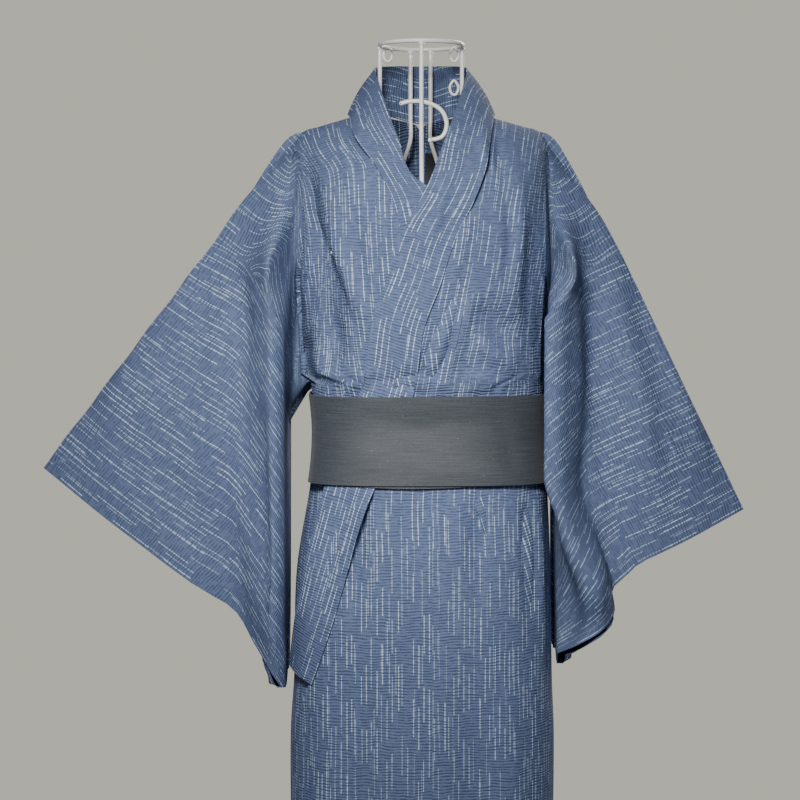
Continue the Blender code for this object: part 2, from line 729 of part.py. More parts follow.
# ---------------------------------------------------------------- the object
def half_robe(name, front, upper):
    """A body panel and its sleeve, which meet in a mitre along the armhole."""
    body, body_facing = body_panel(name, front, upper)
    sleeve = sleeve_grid(name)
    sleeve_facing = normals(sleeve, ring=True)
    sleeve[0] = sleeve[0] + square_step(sleeve[0], sleeve[1]) * SEAM * 2
    side = SLEEVES[name]["side"]
    top_row = len(PANEL_Z) + len(ARMHOLE_T) - 1
    columns = sleeve.shape[1]
    outer = COLUMNS - 1 if side > 0 else 0
    for k in range(1, len(ARMHOLE_T) - 1):
        for row, column in ((top_row - k, k), (top_row + k, columns - k)):
            column = column if side > 0 else columns - 1 - column
            shared = unit(body_facing[row, outer] + sleeve_facing[0, column])
            body_facing[row, outer] = shared
            sleeve_facing[0, column] = shared
    wall("body_" + name, body, COTTON, facing=body_facing)
    wall("sleeve_" + name, sleeve, COTTON, ring=True, facing=sleeve_facing)


half_robe("left", UPPER_FRONT, True)
half_robe("right", LOWER_FRONT, False)
overlap_panel("okumi_left", "left", UPPER_FRONT, True, PANEL_TIP["upper"], COTTON)
overlap_panel("okumi_right", "right", LOWER_FRONT, False, PANEL_TIP["lower"], COTTON)
wall("collar", collar_grid(), COTTON, BAND)
label("neck_label", LABEL)
belt("obi_band", BELT_CLOTH)
back_slab("obi_knot", KNOT, KNOT_THICK, 4 * SEAM, BELT_CLOTH)
for name, corners in TAILS.items():
    back_slab(name, corners, TAIL_THICK, 1.5 * SEAM, BELT_CLOTH)

for name, z in RINGS.items():
    ring_at(name, z, RING_IN, PAINT)
for name, turn in UPRIGHTS.items():
    upright(name, turn, PAINT)
    spoke(name.replace("wire", "spoke"), turn, PAINT)
circle("neck_ring", (0, 0, NECK_RING_Z), NECK_RING, WIRE, PAINT, count=20)
shoulder_wire("shoulder_wire_left", 1, PAINT)
shoulder_wire("shoulder_wire_right", -1, PAINT)
tube("scroll", spline([(x, -NECK_RING + 2 * WIRE + SEAM, z) for x, z in SCROLL], 13), WIRE, PAINT)
for name, side, z in LEAVES:
    centre = (side * (NECK_RING - WIRE - SEAM - LEAF_WIRE - LEAF[0]), 0, z)
    circle(name, centre, 1.0, LEAF_WIRE, PAINT, count=10, tilt=((LEAF[0], 0, 0), (0, 0, LEAF[1])))
bar("hub", HUB_Z[0], HUB_Z[1], HUB_RADIUS, PAINT, sides=16)
bar("pole", FOOT_THICK + SEAM, HUB_Z[0] - SEAM, POLE, PAINT)
foot("foot", PAINT)
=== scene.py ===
# %% [markdown]
# # A cotton yukata on a wire dress form
# A yukata is the plainest of the kimono family: straight strips of one narrow bolt, sewn edge to edge.
# Here it hangs closed on a wire form, held by a stiff belt, the obi. This lesson builds each cut piece of
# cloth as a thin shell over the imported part, gives the cotton its woven dashes and crepe ripples with
# shader nodes alone, and lets Geometry Nodes place the small repeated things: hand stitches and welds.
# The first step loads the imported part. Everything below is in its frame: metres, +Z up, front to -Y.

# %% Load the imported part
from math import asin, cos, hypot, pi, radians, sin

import bpy
import numpy as np
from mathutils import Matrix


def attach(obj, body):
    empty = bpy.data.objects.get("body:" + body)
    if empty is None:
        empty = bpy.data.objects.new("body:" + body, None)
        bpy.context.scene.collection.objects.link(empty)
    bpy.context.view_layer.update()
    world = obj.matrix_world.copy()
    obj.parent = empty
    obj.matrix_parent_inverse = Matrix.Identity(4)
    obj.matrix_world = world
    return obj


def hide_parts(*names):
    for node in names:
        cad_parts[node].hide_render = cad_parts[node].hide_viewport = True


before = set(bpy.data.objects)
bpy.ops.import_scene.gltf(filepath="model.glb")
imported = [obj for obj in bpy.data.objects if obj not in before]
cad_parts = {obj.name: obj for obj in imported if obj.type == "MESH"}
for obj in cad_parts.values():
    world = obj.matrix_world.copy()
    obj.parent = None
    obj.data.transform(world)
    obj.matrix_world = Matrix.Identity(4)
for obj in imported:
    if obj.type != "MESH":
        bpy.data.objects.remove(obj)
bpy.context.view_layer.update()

# %% [markdown]
# ## Camera and studio
# A garment catalogue shot is taken with a long lens from chest height, so that the shoulders and the belt
# keep their true proportions. The floor is one pale disc. A small panel with a narrow spread, in front
# and above, rakes down over the chest and brings out the folds; a large one behind draws a soft rim. The
# world fills in with a dim, bluish light, and only the camera sees it as pale paper. A darker fill would
# give stronger folds but lose the weave in the sleeves' undersides.

# %% Camera, floor and lights
CAMERA_AT = (-0.025, -2.5, 1.26)
CAMERA_TILT = 86.9          # degrees up from straight down
LENS = 93.7
FILM = 36                   # mm across
FLOOR_Z = -0.0005           # just under the foot
FLOOR_RADIUS = 2.2


def placed(name, data):
    """A new object in the scene."""
    thing = bpy.data.objects.new(name, data)
    bpy.context.scene.collection.objects.link(thing)
    return thing


def aimed(data, place, target):
    """Hangs a light at a place and turns it to its target."""
    lamp = placed(data.name, data)
    lamp.location = place
    way = lamp.location - type(lamp.location)(target)
    lamp.rotation_euler = way.to_track_quat("Z", "Y").to_euler()
    lamp.visible_camera = False


def panel(name, place, target, size, power, colour, spread=pi):
    """A square light; a spread below pi narrows its beam."""
    data = bpy.data.lights.new(name, "AREA")
    data.shape = "SQUARE"
    data.spread = spread
    data.size = size
    data.energy = power
    data.color = colour
    aimed(data, place, target)


def studio():
    eye = bpy.data.cameras.new("eye")
    eye.lens = LENS
    eye.sensor_width = FILM
    camera = placed("eye", eye)
    camera.location = CAMERA_AT
    camera.rotation_euler = (radians(CAMERA_TILT), 0, 0)
    bpy.context.scene.camera = camera
    panel("key_panel", (-0.22, -1.36, 1.86), (-0.01, 0, 1.04), 0.30, 4.1, (1.0, 0.98, 0.95), radians(58))
    panel("back_panel", (1.4, 3.0, 2.6), (0, 0, 1.0), 2.4, 100, (1.0, 0.99, 0.97))
    world = bpy.data.worlds.new("room_light")
    world.use_nodes = True
    nodes, links = world.node_tree.nodes, world.node_tree.links
    fill = nodes["Background"]
    fill.inputs["Color"].default_value = (0.140, 0.150, 0.180, 1)
    paper = nodes.new("ShaderNodeBackground")
    paper.inputs["Color"].default_value = (0.53, 0.52, 0.445, 1)
    seen = nodes.new("ShaderNodeLightPath")
    either = nodes.new("ShaderNodeMixShader")
    links.new(seen.outputs["Is Camera Ray"], either.inputs[0])
    links.new(fill.outputs[0], either.inputs[1])
    links.new(paper.outputs[0], either.inputs[2])
    links.new(either.outputs[0], nodes["World Output"].inputs["Surface"])
    bpy.context.scene.world = world


def floor_disc(sides=96):
    turns = np.arange(sides) * 2 * pi / sides
    points = [(FLOOR_RADIUS * cos(a), FLOOR_RADIUS * sin(a), FLOOR_Z) for a in turns]
    mesh = bpy.data.meshes.new("floor")
    mesh.from_pydata(points, [], [tuple(range(sides))])
    floor = placed("floor", mesh)
    paint = bpy.data.materials.new("pale_floor")
    paint.use_nodes = True
    shader = paint.node_tree.nodes["Principled BSDF"]
    shader.inputs["Base Color"].default_value = (0.76, 0.75, 0.70, 1)
    shader.inputs["Roughness"].default_value = 0.9
    mesh.materials.append(paint)


studio()
floor_disc()
print("camera at", CAMERA_AT, "lens", LENS)

# %% [markdown]
# ## The robe's own measures
# The cloth hangs on a body whose sections are soft oblongs: each level has a half width to either side
# and a depth to front and back. Between the levels the numbers run along a smooth curve, because a
# straight run between two levels would leave a crease round the whole robe. The same tables shaped the
# solids, so the shells land on them.

# %% Tables of the body, the fronts and the sleeves
CLOTH = 0.0007              # thickness
HEM_Z = 0.09
BLOUSE_Z = 1.157            # height on the body of the armhole's foot
CHEST_Z = 1.33              # where the front starts to turn over the shoulder
SHOULDER_ROUND = 0.15       # cloth from there to the top fold
ARMHOLE = 0.36              # length of the sleeve's seam, down from the top fold
SLEEVE_DROP = 0.49
SLEEVE_OUT = 0.342          # from armhole to cuff
WRIST = 0.25                # length of the wrist opening
CORNER_ROUND = 0.12         # the sleeve's lower outer corner
CORNER_TURN = 0.92          # share of a full quarter round
BELT_FOOT = 1.030
BELT_TOP = 1.134
CORNER = 2.8                # power of the body's superellipse; 2 is an ellipse
SIDE_SEAM_Y = 0.03
OVER = 0.0054               # how far the upper front lies outside the lower one
FIT = 0.0003                # gap at a seat
# z, half width on the wearer's right and left, depth of front and back
SECTIONS = np.array([
    (0.05, 0.149, 0.149, 0.104, 0.108),
    (0.45, 0.154, 0.152, 0.110, 0.115),
    (0.70, 0.157, 0.155, 0.112, 0.118),
    (0.80, 0.152, 0.152, 0.112, 0.118),
    (0.92, 0.149, 0.150, 0.110, 0.116),
    (1.02, 0.133, 0.146, 0.101, 0.100),
    (1.08, 0.127, 0.141, 0.096, 0.090),
    (1.14, 0.131, 0.142, 0.100, 0.092),
    (1.22, 0.144, 0.145, 0.110, 0.102),
    (1.33, 0.150, 0.150, 0.112, 0.106),
    (1.47, 0.150, 0.150, 0.112, 0.106),
])
# z, collar seam and panel seam across from the middle; up to the crossing both fronts are alike
CROSSED = [
    (0.795, -0.127, 0.0125),
    (0.879, -0.0985, 0.0125),
    (0.947, -0.079, 0.0125),
    (1.028, -0.0527, 0.0125),
    (1.133, -0.009, 0.0275),
    (1.197, 0.000, 0.040),
]
UPPER_FRONT = np.array(CROSSED + [
    (1.2554, 0.0206, 0.0516),
    (1.314, 0.039, 0.062),
    (1.353, 0.055, 0.066),
    (1.385, 0.0705, 0.0715),
    (1.47, 0.084, 0.084),
])
LOWER_FRONT = np.array(CROSSED + [
    (1.308, 0.023, 0.050),
    (1.350, 0.0263, 0.052),
    (1.403, 0.0545, 0.0555),
    (1.433, 0.0745, 0.0745),
    (1.47, 0.084, 0.084),
])
EDGE = 0.140                # the overlaps' free edge, across from the middle
PANEL_TIP = {"upper": 1.383, "lower": 1.400}
SLEEVES = {
    "right": {"side": -1, "top": (0.2466, 1.3145), "slope": (0.607, 0.795),
              "tuck": 0.0, "tuck flat": 0.06, "swing": 0.006},
    "left": {"side": 1, "top": (0.2395, 1.3005), "slope": (0.437, 0.900),
             "tuck": -0.016, "tuck flat": 0.08, "swing": 0.050},
}
# seen from above: distance out if flat, real distance out, front layer's y, back layer's y
FOLDS = {
    "right": np.array([
        (0.50, 0.495, -0.015, -0.009),
        (0.457, 0.453, -0.018, -0.004),
        (0.36, 0.357, -0.032, -0.012),
        (0.28, 0.270, -0.038, -0.004),
        (0.235, 0.217, -0.034, 0.012),
        (0.185, 0.193, -0.062, 0.030),
        (0.145, 0.176, -0.084, 0.044),
        (0.110, 0.162, -0.072, 0.056),
        (0.060, 0.160, -0.040, 0.062),
        (-0.020, 0.160, -0.008, 0.056),
        (-0.14, 0.158, 0.010, 0.046),
    ]),
    "left": np.array([
        (0.45, 0.447, -0.015, -0.009),
        (0.39, 0.388, -0.018, -0.004),
        (0.31, 0.308, -0.032, -0.010),
        (0.24, 0.235, -0.034, 0.002),
        (0.195, 0.192, -0.030, 0.018),
        (0.155, 0.180, -0.066, 0.032),
        (0.115, 0.166, -0.096, 0.046),
        (0.075, 0.158, -0.090, 0.058),
        (0.030, 0.1625, -0.046, 0.064),
        (-0.060, 0.1625, -0.010, 0.056),
        (-0.21, 0.161, 0.012, 0.046),
    ]),
}


def spline(points, count):
    """Points evenly spread by index along a smooth curve through the given ones."""
    points = np.asarray(points, float)
    padded = np.vstack([2 * points[0] - points[1], points, 2 * points[-1] - points[-2]])
    out = []
    for place in np.linspace(0, len(points) - 1, count):
        i = min(int(place), len(points) - 2)
        f = place - i
        a, b, c, d = padded[i:i + 4]
        out.append(0.5 * (2 * b + (c - a) * f + (2 * a - 5 * b + 4 * c - d) * f**2 + (3 * b - a - 3 * c + d) * f**3))
    return np.array(out)


def table(rows, column, at):
    return float(np.interp(at, rows[:, 0], rows[:, column]))


def ease(x):
    x = np.clip(x, 0.0, 1.0)
    return x * x * (3 - 2 * x)


def unit(vectors):
    return vectors / np.maximum(np.linalg.norm(vectors, axis=-1, keepdims=True), 1e-12)


SMOOTH_SECTIONS = spline(SECTIONS, 241)
SMOOTH_FRONTS = {"left": spline(UPPER_FRONT, 181), "right": spline(LOWER_FRONT, 181)}
FOLDS_DENSE = {name: spline(rows, 121)[::-1] for name, rows in FOLDS.items()}
print("sleeve drop", SLEEVE_DROP, "m; belt", round(BELT_TOP - BELT_FOOT, 3), "m wide")

# %% [markdown]
# ## From a grid of points to a shell of cloth
# Every cut piece of a kimono is close to a rectangle, so each is a grid: rows and columns of points.
# A shell is that grid pushed half the cloth's thickness to either side, with its rim closed. The UV map
# is measured in metres, u across the weft and v along the warp, so that a pattern which is woven
# along the bolt follows each piece as it bends, at its real size. A Solidify modifier could thicken the
# grid too, but here the piece's own normals are needed first, for the creases.

# %% Shell builder
def normals(grid, ring=False):
    """Outward normals of a grid whose rows run up and whose columns run to the viewer's right."""
    if ring:
        along = np.roll(grid, -1, axis=1) - np.roll(grid, 1, axis=1)
    else:
        along = np.gradient(grid, axis=1)
    return unit(np.cross(along, np.gradient(grid, axis=0)))


def shell(name, grid, uv, finish, thick=CLOTH, ring=False, facing=None):
    """A closed shell about a grid of points. On a ring, uv has one column more than the grid."""
    facing = normals(grid, ring) if facing is None else facing
    rows, columns = grid.shape[:2]
    sides = (grid + facing * thick / 2, grid - facing * thick / 2)
    points = np.concatenate([side.reshape(-1, 3) for side in sides])
    inner = rows * columns
    last = columns if ring else columns - 1
    faces, cuts = [], []

    def at(row, column):
        return row * columns + column % columns

    for row in range(rows - 1):
        for column in range(last):
            corners = ((row, column), (row, column + 1), (row + 1, column + 1), (row + 1, column))
            face = tuple(at(*c) for c in corners)
            faces.append(face)
            cuts += [uv[c] for c in corners]
            faces.append(tuple(inner + i for i in face[::-1]))
            cuts += [uv[c] for c in corners[::-1]]
    rims = [((row, column), (row, column + 1), turned) for column in range(last)
            for row, turned in ((0, True), (rows - 1, False))]
    if not ring:
        rims += [((row, column), (row + 1, column), turned) for row in range(rows - 1)
                 for column, turned in ((0, False), (columns - 1, True))]
    for a, b, turned in rims:
        rim = [(at(*a), uv[a]), (inner + at(*a), uv[a]), (inner + at(*b), uv[b]), (at(*b), uv[b])]
        rim = rim if turned else rim[::-1]
        faces.append(tuple(i for i, _ in rim))
        cuts += [c for _, c in rim]
    return mesh_piece(name, points, faces, finish, cuts)


def mesh_piece(name, points, faces, finish, cuts=None, smooth_angle=1.1):
    """An object of these faces; cuts holds a (u, v) for each of their corners."""
    mesh = bpy.data.meshes.new(name)
    mesh.from_pydata(np.asarray(points, float).tolist(), [], faces)
    if cuts is not None:
        layer = mesh.uv_layers.new(name="cut")
        layer.data.foreach_set("uv", np.asarray(cuts, np.float32).reshape(-1))
    mesh.materials.append(finish)
    mesh.shade_smooth()
    mesh.set_sharp_from_angle(angle=smooth_angle)
    return placed(name, mesh)


def run_lengths(grid, axis):
    """Length run along an axis of the grid, from its start, for every point."""
    steps = np.linalg.norm(np.diff(grid, axis=axis), axis=-1)
    zero = np.zeros_like(np.take(steps, [0], axis=axis))
    return np.concatenate([zero, np.cumsum(steps, axis=axis)], axis=axis)


def lay_cut(u, v):
    """A UV for every point of a grid; v may be one number for each row."""
    return np.stack([u, v + np.zeros_like(u)], axis=-1)


def ring_closed(grid):
    """The grid of a ring with its first column again at the end."""
    return np.concatenate([grid, grid[:, :1]], axis=1)


def outer_area(piece):
    """Area of one side, in m2."""
    return sum(f.area for f in piece.data.polygons) / 2


print("shell builder ready, cloth", CLOTH * 1000, "mm")

# %% [markdown]
# ## Yarn and weave
# The cotton is a chambray: slate blue warp with a paler weft, crossed by crepe ripples that make it
# stand off the skin. The white marks are short lengths of bare yarn that the dyer left along the warp.
# An image texture would be the quick way, but it blurs close up and repeats; here the marks are
# worked out from the cut piece's own UV, so that every strip gets its own. A small helper keeps the node
# tree readable: each call adds one Math node and returns its output.

# %% A short hand for shader nodes
class Loom:
    """Adds nodes to one material, left to right."""

    def __init__(self, name):
        self.material = bpy.data.materials.new(name)
        self.material.use_nodes = True
        self.tree = self.material.node_tree
        self.shader = self.tree.nodes["Principled BSDF"]
        self.place = 0

    def node(self, kind, **settings):
        made = self.tree.nodes.new(kind)
        self.place += 1
        made.location = (-1800 + 36 * self.place, 300 - 170 * (self.place % 7))
        for key, value in settings.items():
            setattr(made, key, value)
        return made

    def join(self, value, socket):
        if hasattr(value, "links"):
            self.tree.links.new(value, socket)
        else:
            socket.default_value = value

    def math(self, operation, a, b=None, c=None):
        made = self.node("ShaderNodeMath", operation=operation)
        for value, socket in zip((a, b, c), made.inputs):
            if value is not None:
                self.join(value, socket)
        return made.outputs[0]

    def smooth(self, value, low, high, to_low=0.0, to_high=1.0):
        made = self.node("ShaderNodeMapRange", interpolation_type="SMOOTHSTEP")
        for number, socket in zip((value, low, high, to_low, to_high), made.inputs):
            self.join(number, socket)
        return made.outputs[0]

    def vector(self, x, y, z):
        made = self.node("ShaderNodeCombineXYZ")
        for value, socket in zip((x, y, z), made.inputs):
            self.join(value, socket)
        return made.outputs[0]

    def noise(self, place, scale, detail=2.0):
        made = self.node("ShaderNodeTexNoise")
        self.join(place, made.inputs["Vector"])
        made.inputs["Scale"].default_value = scale
        made.inputs["Detail"].default_value = detail
        return made.outputs[0]

    def grain(self, u, v, across, along, seed, detail=2.0):
        """Noise on the cut piece, with this many lumps a metre across and along the warp."""
        place = self.vector(self.math("MULTIPLY", u, across), self.math("MULTIPLY", v, along), seed)
        return self.noise(place, 1.0, detail)

    def wave(self, place, length):
        return self.math("SINE", self.math("MULTIPLY", place, 2 * pi / length))

    def chance(self, place):
        """An even random number for each whole place."""
        made = self.node("ShaderNodeTexWhiteNoise", noise_dimensions="3D")
        self.join(place, made.inputs["Vector"])
        return made.outputs["Value"]

    def blend(self, share, a, b):
        made = self.node("ShaderNodeMix", data_type="RGBA")
        self.join(share, made.inputs["Factor"])
        self.join(a, made.inputs["A"])
        self.join(b, made.inputs["B"])
        return made.outputs["Result"]

    def bump(self, height, strength, distance, under=None):
        made = self.node("ShaderNodeBump")
        self.join(height, made.inputs["Height"])
        made.inputs["Strength"].default_value = strength
        made.inputs["Distance"].default_value = distance
        if under is not None:
            self.join(under, made.inputs["Normal"])
        return made.outputs[0]

    def cut(self):
        """u and v of the cut piece, in metres."""
        coordinates = self.node("ShaderNodeUVMap", uv_map="cut")
        parts = self.node("ShaderNodeSeparateXYZ")
        self.join(coordinates.outputs[0], parts.inputs[0])
        return parts.outputs[0], parts.outputs[1]

    def woven(self, **inputs):
        """The material, once the shader's inputs are set; a name's underscores stand for spaces."""
        for name, value in inputs.items():
            self.join(value, self.shader.inputs[name.replace("_", " ")])
        return self.material


# %% [markdown]
# ## The dashed crepe cotton
# Each warp column, 6 mm apart, is cut into stretches. A random number for each column and stretch says
# whether there is a dash, where it starts and how long it runs. A second, fainter set of columns is wider
# apart. The crepe ripples are short uneven ridges across the warp, 3 to 4 mm apart; they lift the cloth in
# the bump, and shade is painted into their valleys: the cloth and the dashes are darker there, which breaks
# the dashes into dots. A fine speckle stands for the paler weft between the yarns, and a faint stripe of
# 2.6 mm for the threads that lie closer.

# %% The cotton's finish
DASH_PITCH = 0.0060         # from column to column
DASH_STRETCH = 0.080        # length of cloth for one dash and its pause
DASH_HALF = 0.00038         # half its width
RIPPLE = 0.0034
# shift, pitch, share of the stretches with a dash, strength
DASH_SETS = ((0.0, DASH_PITCH, 0.88, 1.0), (0.37, DASH_PITCH * 1.31, 0.60, 0.55))
COTTON_SHADE = (0.074, 0.106, 0.204, 1)
COTTON_LIGHT = (0.136, 0.176, 0.300, 1)
COTTON_SLUB = (0.175, 0.218, 0.350, 1)
COTTON_CLOUD = (0.074, 0.106, 0.210, 1)
COTTON_STRIPE = (0.070, 0.105, 0.205, 1)
# painted shade: the dark colour laid into the crepe ripples' valleys
PAINTED_RIPPLE_SHADE = (0.036, 0.060, 0.135, 1)
BARE_YARN = (0.66, 0.84, 1.0, 1)


def dash_set(loom, u, v, seed, shift, pitch, keep, strength):
    """One set of columns: how much bare yarn shows, 0 to 1."""
    wander = loom.grain(u, v, 20.0, 3.0, seed)
    column = loom.math("ADD", loom.math("DIVIDE", u, pitch), shift)
    column = loom.math("MULTIPLY_ADD", wander, 0.5, column)
    number = loom.math("FLOOR", column)
    lane = loom.chance(loom.vector(number, seed + 3.0, 1.0))
    # how far to the side of the dash's own line
    side = loom.math("SUBTRACT", loom.math("FRACT", column), loom.math("MULTIPLY_ADD", lane, 0.36, 0.32))
    side = loom.math("MULTIPLY", loom.math("ABSOLUTE", side), pitch)
    # neighbouring columns start nearly together, in groups of four
    group = loom.chance(loom.vector(loom.math("FLOOR", loom.math("DIVIDE", number, 4.0)), seed, 7.0))
    start = loom.math("MULTIPLY_ADD", group, 1.0, loom.math("MULTIPLY", lane, 0.55))
    start = loom.math("MULTIPLY_ADD", start, 1.7, shift)
    along = loom.math("ADD", loom.math("DIVIDE", v, DASH_STRETCH), start)
    stretch = loom.math("FLOOR", along)
    within = loom.math("FRACT", along)
    first, second, third = (loom.chance(loom.vector(number, stretch, seed + more)) for more in (0, 11.0, 23.0))
    begin = loom.math("MULTIPLY", first, 0.24)
    end = loom.math("ADD", begin, loom.math("MULTIPLY_ADD", second, 0.36, 0.42))
    inside = loom.math("MULTIPLY", loom.smooth(within, begin, loom.math("ADD", begin, 0.02)),
                       loom.smooth(within, loom.math("SUBTRACT", end, 0.02), end, 1.0, 0.0))
    present = loom.math("LESS_THAN", third, keep)
    edge = loom.smooth(side, DASH_HALF * 0.6, DASH_HALF * 1.5, 1.0, 0.0)
    bare = loom.math("MULTIPLY", loom.math("MULTIPLY_ADD", lane, 0.60, 0.42), strength)
    return loom.math("MULTIPLY", loom.math("MULTIPLY", inside, present), loom.math("MULTIPLY", edge, bare))


def dashes(loom, u, v, seed, ripple):
    """Both sets of columns, with painted shade that dims them in the ripples' valleys and so breaks them into dots.
    """
    close, sparse = (dash_set(loom, u, v, seed, *numbers) for numbers in DASH_SETS)
    # painted shade: the dashes keep only 12 % of their strength in the ripples' valleys
    return loom.math("MULTIPLY", loom.math("MAXIMUM", close, sparse), loom.smooth(ripple, 0.30, 0.75, 0.12, 1.0))


def crepe(loom, u, v, seed):
    """Height of the ripples, 0 to 1."""
    drift = loom.grain(u, v, 30.0, 30.0, seed)
    turns = loom.math("DIVIDE", v, RIPPLE)
    wave = loom.math("MULTIPLY", loom.math("MULTIPLY_ADD", drift, 2.6, turns), 2 * pi)
    wave = loom.math("MULTIPLY_ADD", loom.math("SINE", wave), 0.5, 0.5)
    wave = loom.math("POWER", wave, 0.7)
    patch = loom.smooth(loom.grain(u, v, 110.0, 190.0, seed + 4.0), 0.34, 0.60, 0.25, 1.0)
    return loom.math("SUBTRACT", 1.0, loom.math("MULTIPLY", loom.math("SUBTRACT", 1.0, wave), patch))


def cotton(name, seed):
    loom = Loom(name)
    u, v = loom.cut()
    ripple = crepe(loom, u, v, seed)
    mark = dashes(loom, u, v, seed, ripple)
    speckle = loom.grain(u, v, 1500.0, 700.0, seed, 1.0)
    slub = loom.grain(u, v, 700.0, 60.0, seed)
    broad = loom.grain(u, v, 9.0, 7.0, seed, 3.0)
    stripe = loom.math("MULTIPLY_ADD", loom.wave(u, 0.0026), 0.5, 0.5)
    base = loom.blend(loom.smooth(speckle, 0.34, 0.68), COTTON_SHADE, COTTON_LIGHT)
    base = loom.blend(loom.smooth(slub, 0.35, 0.75, 0.0, 0.35), base, COTTON_SLUB)
    base = loom.blend(loom.smooth(broad, 0.3, 0.7, 0.0, 0.22), base, COTTON_CLOUD)
    base = loom.blend(loom.math("MULTIPLY", stripe, 0.22), base, COTTON_STRIPE)
    # painted shade in the ripples' valleys, up to 55 % of the dark colour where the ripple is lowest
    base = loom.blend(loom.smooth(ripple, 0.0, 0.8, 0.55, 0.0), base, PAINTED_RIPPLE_SHADE)
    base = loom.blend(mark, base, BARE_YARN)
    yarns = loom.math("MULTIPLY", loom.wave(u, 0.0011), loom.wave(v, 0.0013))
    weave = loom.bump(yarns, 0.12, 0.0004)
    raised = loom.math("MULTIPLY_ADD", mark, 0.25, ripple)
    return loom.woven(Base_Color=base, Roughness=0.78, Specular_IOR_Level=0.28,
                      Normal=loom.bump(raised, 0.55, 0.0016, weave))


COTTON_SEEDS = {"left": 2.0, "right": 5.0, "sleeve_left": 9.0, "sleeve_right": 14.0, "overlap": 21.0, "collar": 33.0}
COTTON = {name: cotton("dashed_cotton_" + name, seed) for name, seed in COTTON_SEEDS.items()}
print("cotton finishes:", len(COTTON), "nodes each:", len(COTTON["left"].node_tree.nodes))

# %% [markdown]
# ## The obi's weave
# A man's obi for a yukata is stiff: a plain, tight weave with a heavy weft rib that runs across the belt
# and slightly slubbed yarn, dyed charcoal. Two crossed waves make the rib and the yarns, and streaks
# along the belt give the weft's uneven thickness.

# %% The obi's finish
def obi_weave(name):
    loom = Loom(name)
    u, v = loom.cut()
    streak = loom.grain(u, v, 22.0, 900.0, 1.0, 3.0)
    slub = loom.grain(u, v, 260.0, 1100.0, 4.0, 1.0)
    lint = loom.grain(u, v, 420.0, 420.0, 9.0, 0.0)
    cloudy = loom.grain(u, v, 14.0, 20.0, 2.0)
    base = loom.blend(loom.smooth(streak, 0.33, 0.68), (0.025, 0.031, 0.038, 1), (0.048, 0.058, 0.071, 1))
    base = loom.blend(loom.smooth(slub, 0.45, 0.8, 0.0, 0.6), base, (0.076, 0.088, 0.102, 1))
    base = loom.blend(loom.smooth(cloudy, 0.3, 0.7, 0.0, 0.25), base, (0.032, 0.038, 0.046, 1))
    base = loom.blend(loom.smooth(lint, 0.84, 0.88, 0.0, 0.5), base, (0.30, 0.34, 0.38, 1))
    rib = loom.math("MULTIPLY", loom.wave(v, 0.0012), loom.wave(u, 0.0009))
    height = loom.math("MULTIPLY_ADD", rib, 0.5, loom.math("MULTIPLY", streak, 1.2))
    return loom.woven(Base_Color=base, Roughness=0.50, Sheen_Weight=0.10, Specular_IOR_Level=0.55,
                      Normal=loom.bump(height, 0.35, 0.0005))


OBI = obi_weave("charcoal_weave")
print("obi finish nodes:", len(OBI.node_tree.nodes))

# %% [markdown]
# ## Paint, label and thread
# The form's wire is steel rod dipped in a thick cream-white coat: it pools a little, so the gloss is even
# but the surface is faintly lumpy. The label inside the back is black satin ribbon and is left bare.

# %% Finishes of the form and the trims
def dipped_paint(name):
    loom = Loom(name)
    place = loom.node("ShaderNodeTexCoord").outputs["Object"]
    lumps = loom.noise(place, 160.0)
    dust = loom.noise(place, 28.0, 3.0)
    base = loom.blend(loom.smooth(dust, 0.35, 0.75), (0.93, 0.925, 0.88, 1), (0.86, 0.85, 0.79, 1))
    return loom.woven(Base_Color=base, Roughness=loom.smooth(dust, 0.3, 0.8, 0.26, 0.44), Coat_Weight=0.25,
                      Coat_Roughness=0.2, Normal=loom.bump(lumps, 0.25, 0.0008))


def ribbon(name):
    loom = Loom(name)
    u, v = loom.cut()
    base = loom.blend(loom.grain(u, v, 300.0, 90.0, 0.0), (0.008, 0.009, 0.012, 1), (0.022, 0.024, 0.030, 1))
    return loom.woven(Base_Color=base, Roughness=0.42, Sheen_Weight=0.1,
                      Normal=loom.bump(loom.wave(v, 0.0006), 0.3, 0.0003))


def thread(name, colour):
    loom = Loom(name)
    place = loom.node("ShaderNodeTexCoord").outputs["Object"]
    twist = loom.noise(place, 900.0, 1.0)
    dark = tuple(c * 0.6 for c in colour) + (1,)
    return loom.woven(Base_Color=loom.blend(twist, dark, (*colour, 1)), Roughness=0.7,
                      Normal=loom.bump(twist, 0.4, 0.0003))


PAINT = dipped_paint("dipped_white")
LABEL = ribbon("black_ribbon")
BLUE_THREAD = thread("blue_thread", (0.10, 0.15, 0.26))
print("finishes:", PAINT.name, LABEL.name, BLUE_THREAD.name)

# %% [markdown]
# ## The body under the cloth
# A section is a superellipse: rounder than a box, squarer than an ellipse, as a padded torso is. These
# helpers answer two questions: where is the surface for a distance across, and where is it for an angle.

# %% Sections of the body
WALK_STEP = 0.01            # of a turn in radians, small enough to follow the section


def across(x, z, out=0.0, back=False):
    half = table(SMOOTH_SECTIONS, 1 if x < 0 else 2, z)
    depth = table(SMOOTH_SECTIONS, 4 if back else 3, z) + out
    ratio = min(1.0, abs(x) / (half + out))
    y = depth * (1 - ratio**CORNER)**(1 / CORNER)
    return np.array((x, y if back else -y, z))


def round_section(turn, z, out=0.0):
    """The section's point by angle: 0 is the middle of the front, pi / 2 the wearer's left."""
    s, c = sin(turn), cos(turn)
    half = table(SMOOTH_SECTIONS, 1 if s < 0 else 2, z) + out
    depth = table(SMOOTH_SECTIONS, 3 if c > 0 else 4, z) + out
    reach = (abs(s)**CORNER + abs(c)**CORNER)**(-1 / CORNER)
    return np.array((half * s * reach, -depth * c * reach, z))


def turn_of(point, out=0.0):
    x, y, z = point
    half = table(SMOOTH_SECTIONS, 1 if x < 0 else 2, z) + out
    depth = table(SMOOTH_SECTIONS, 3 if y < 0 else 4, z) + out
    return np.arctan2(x / half, -y / depth)


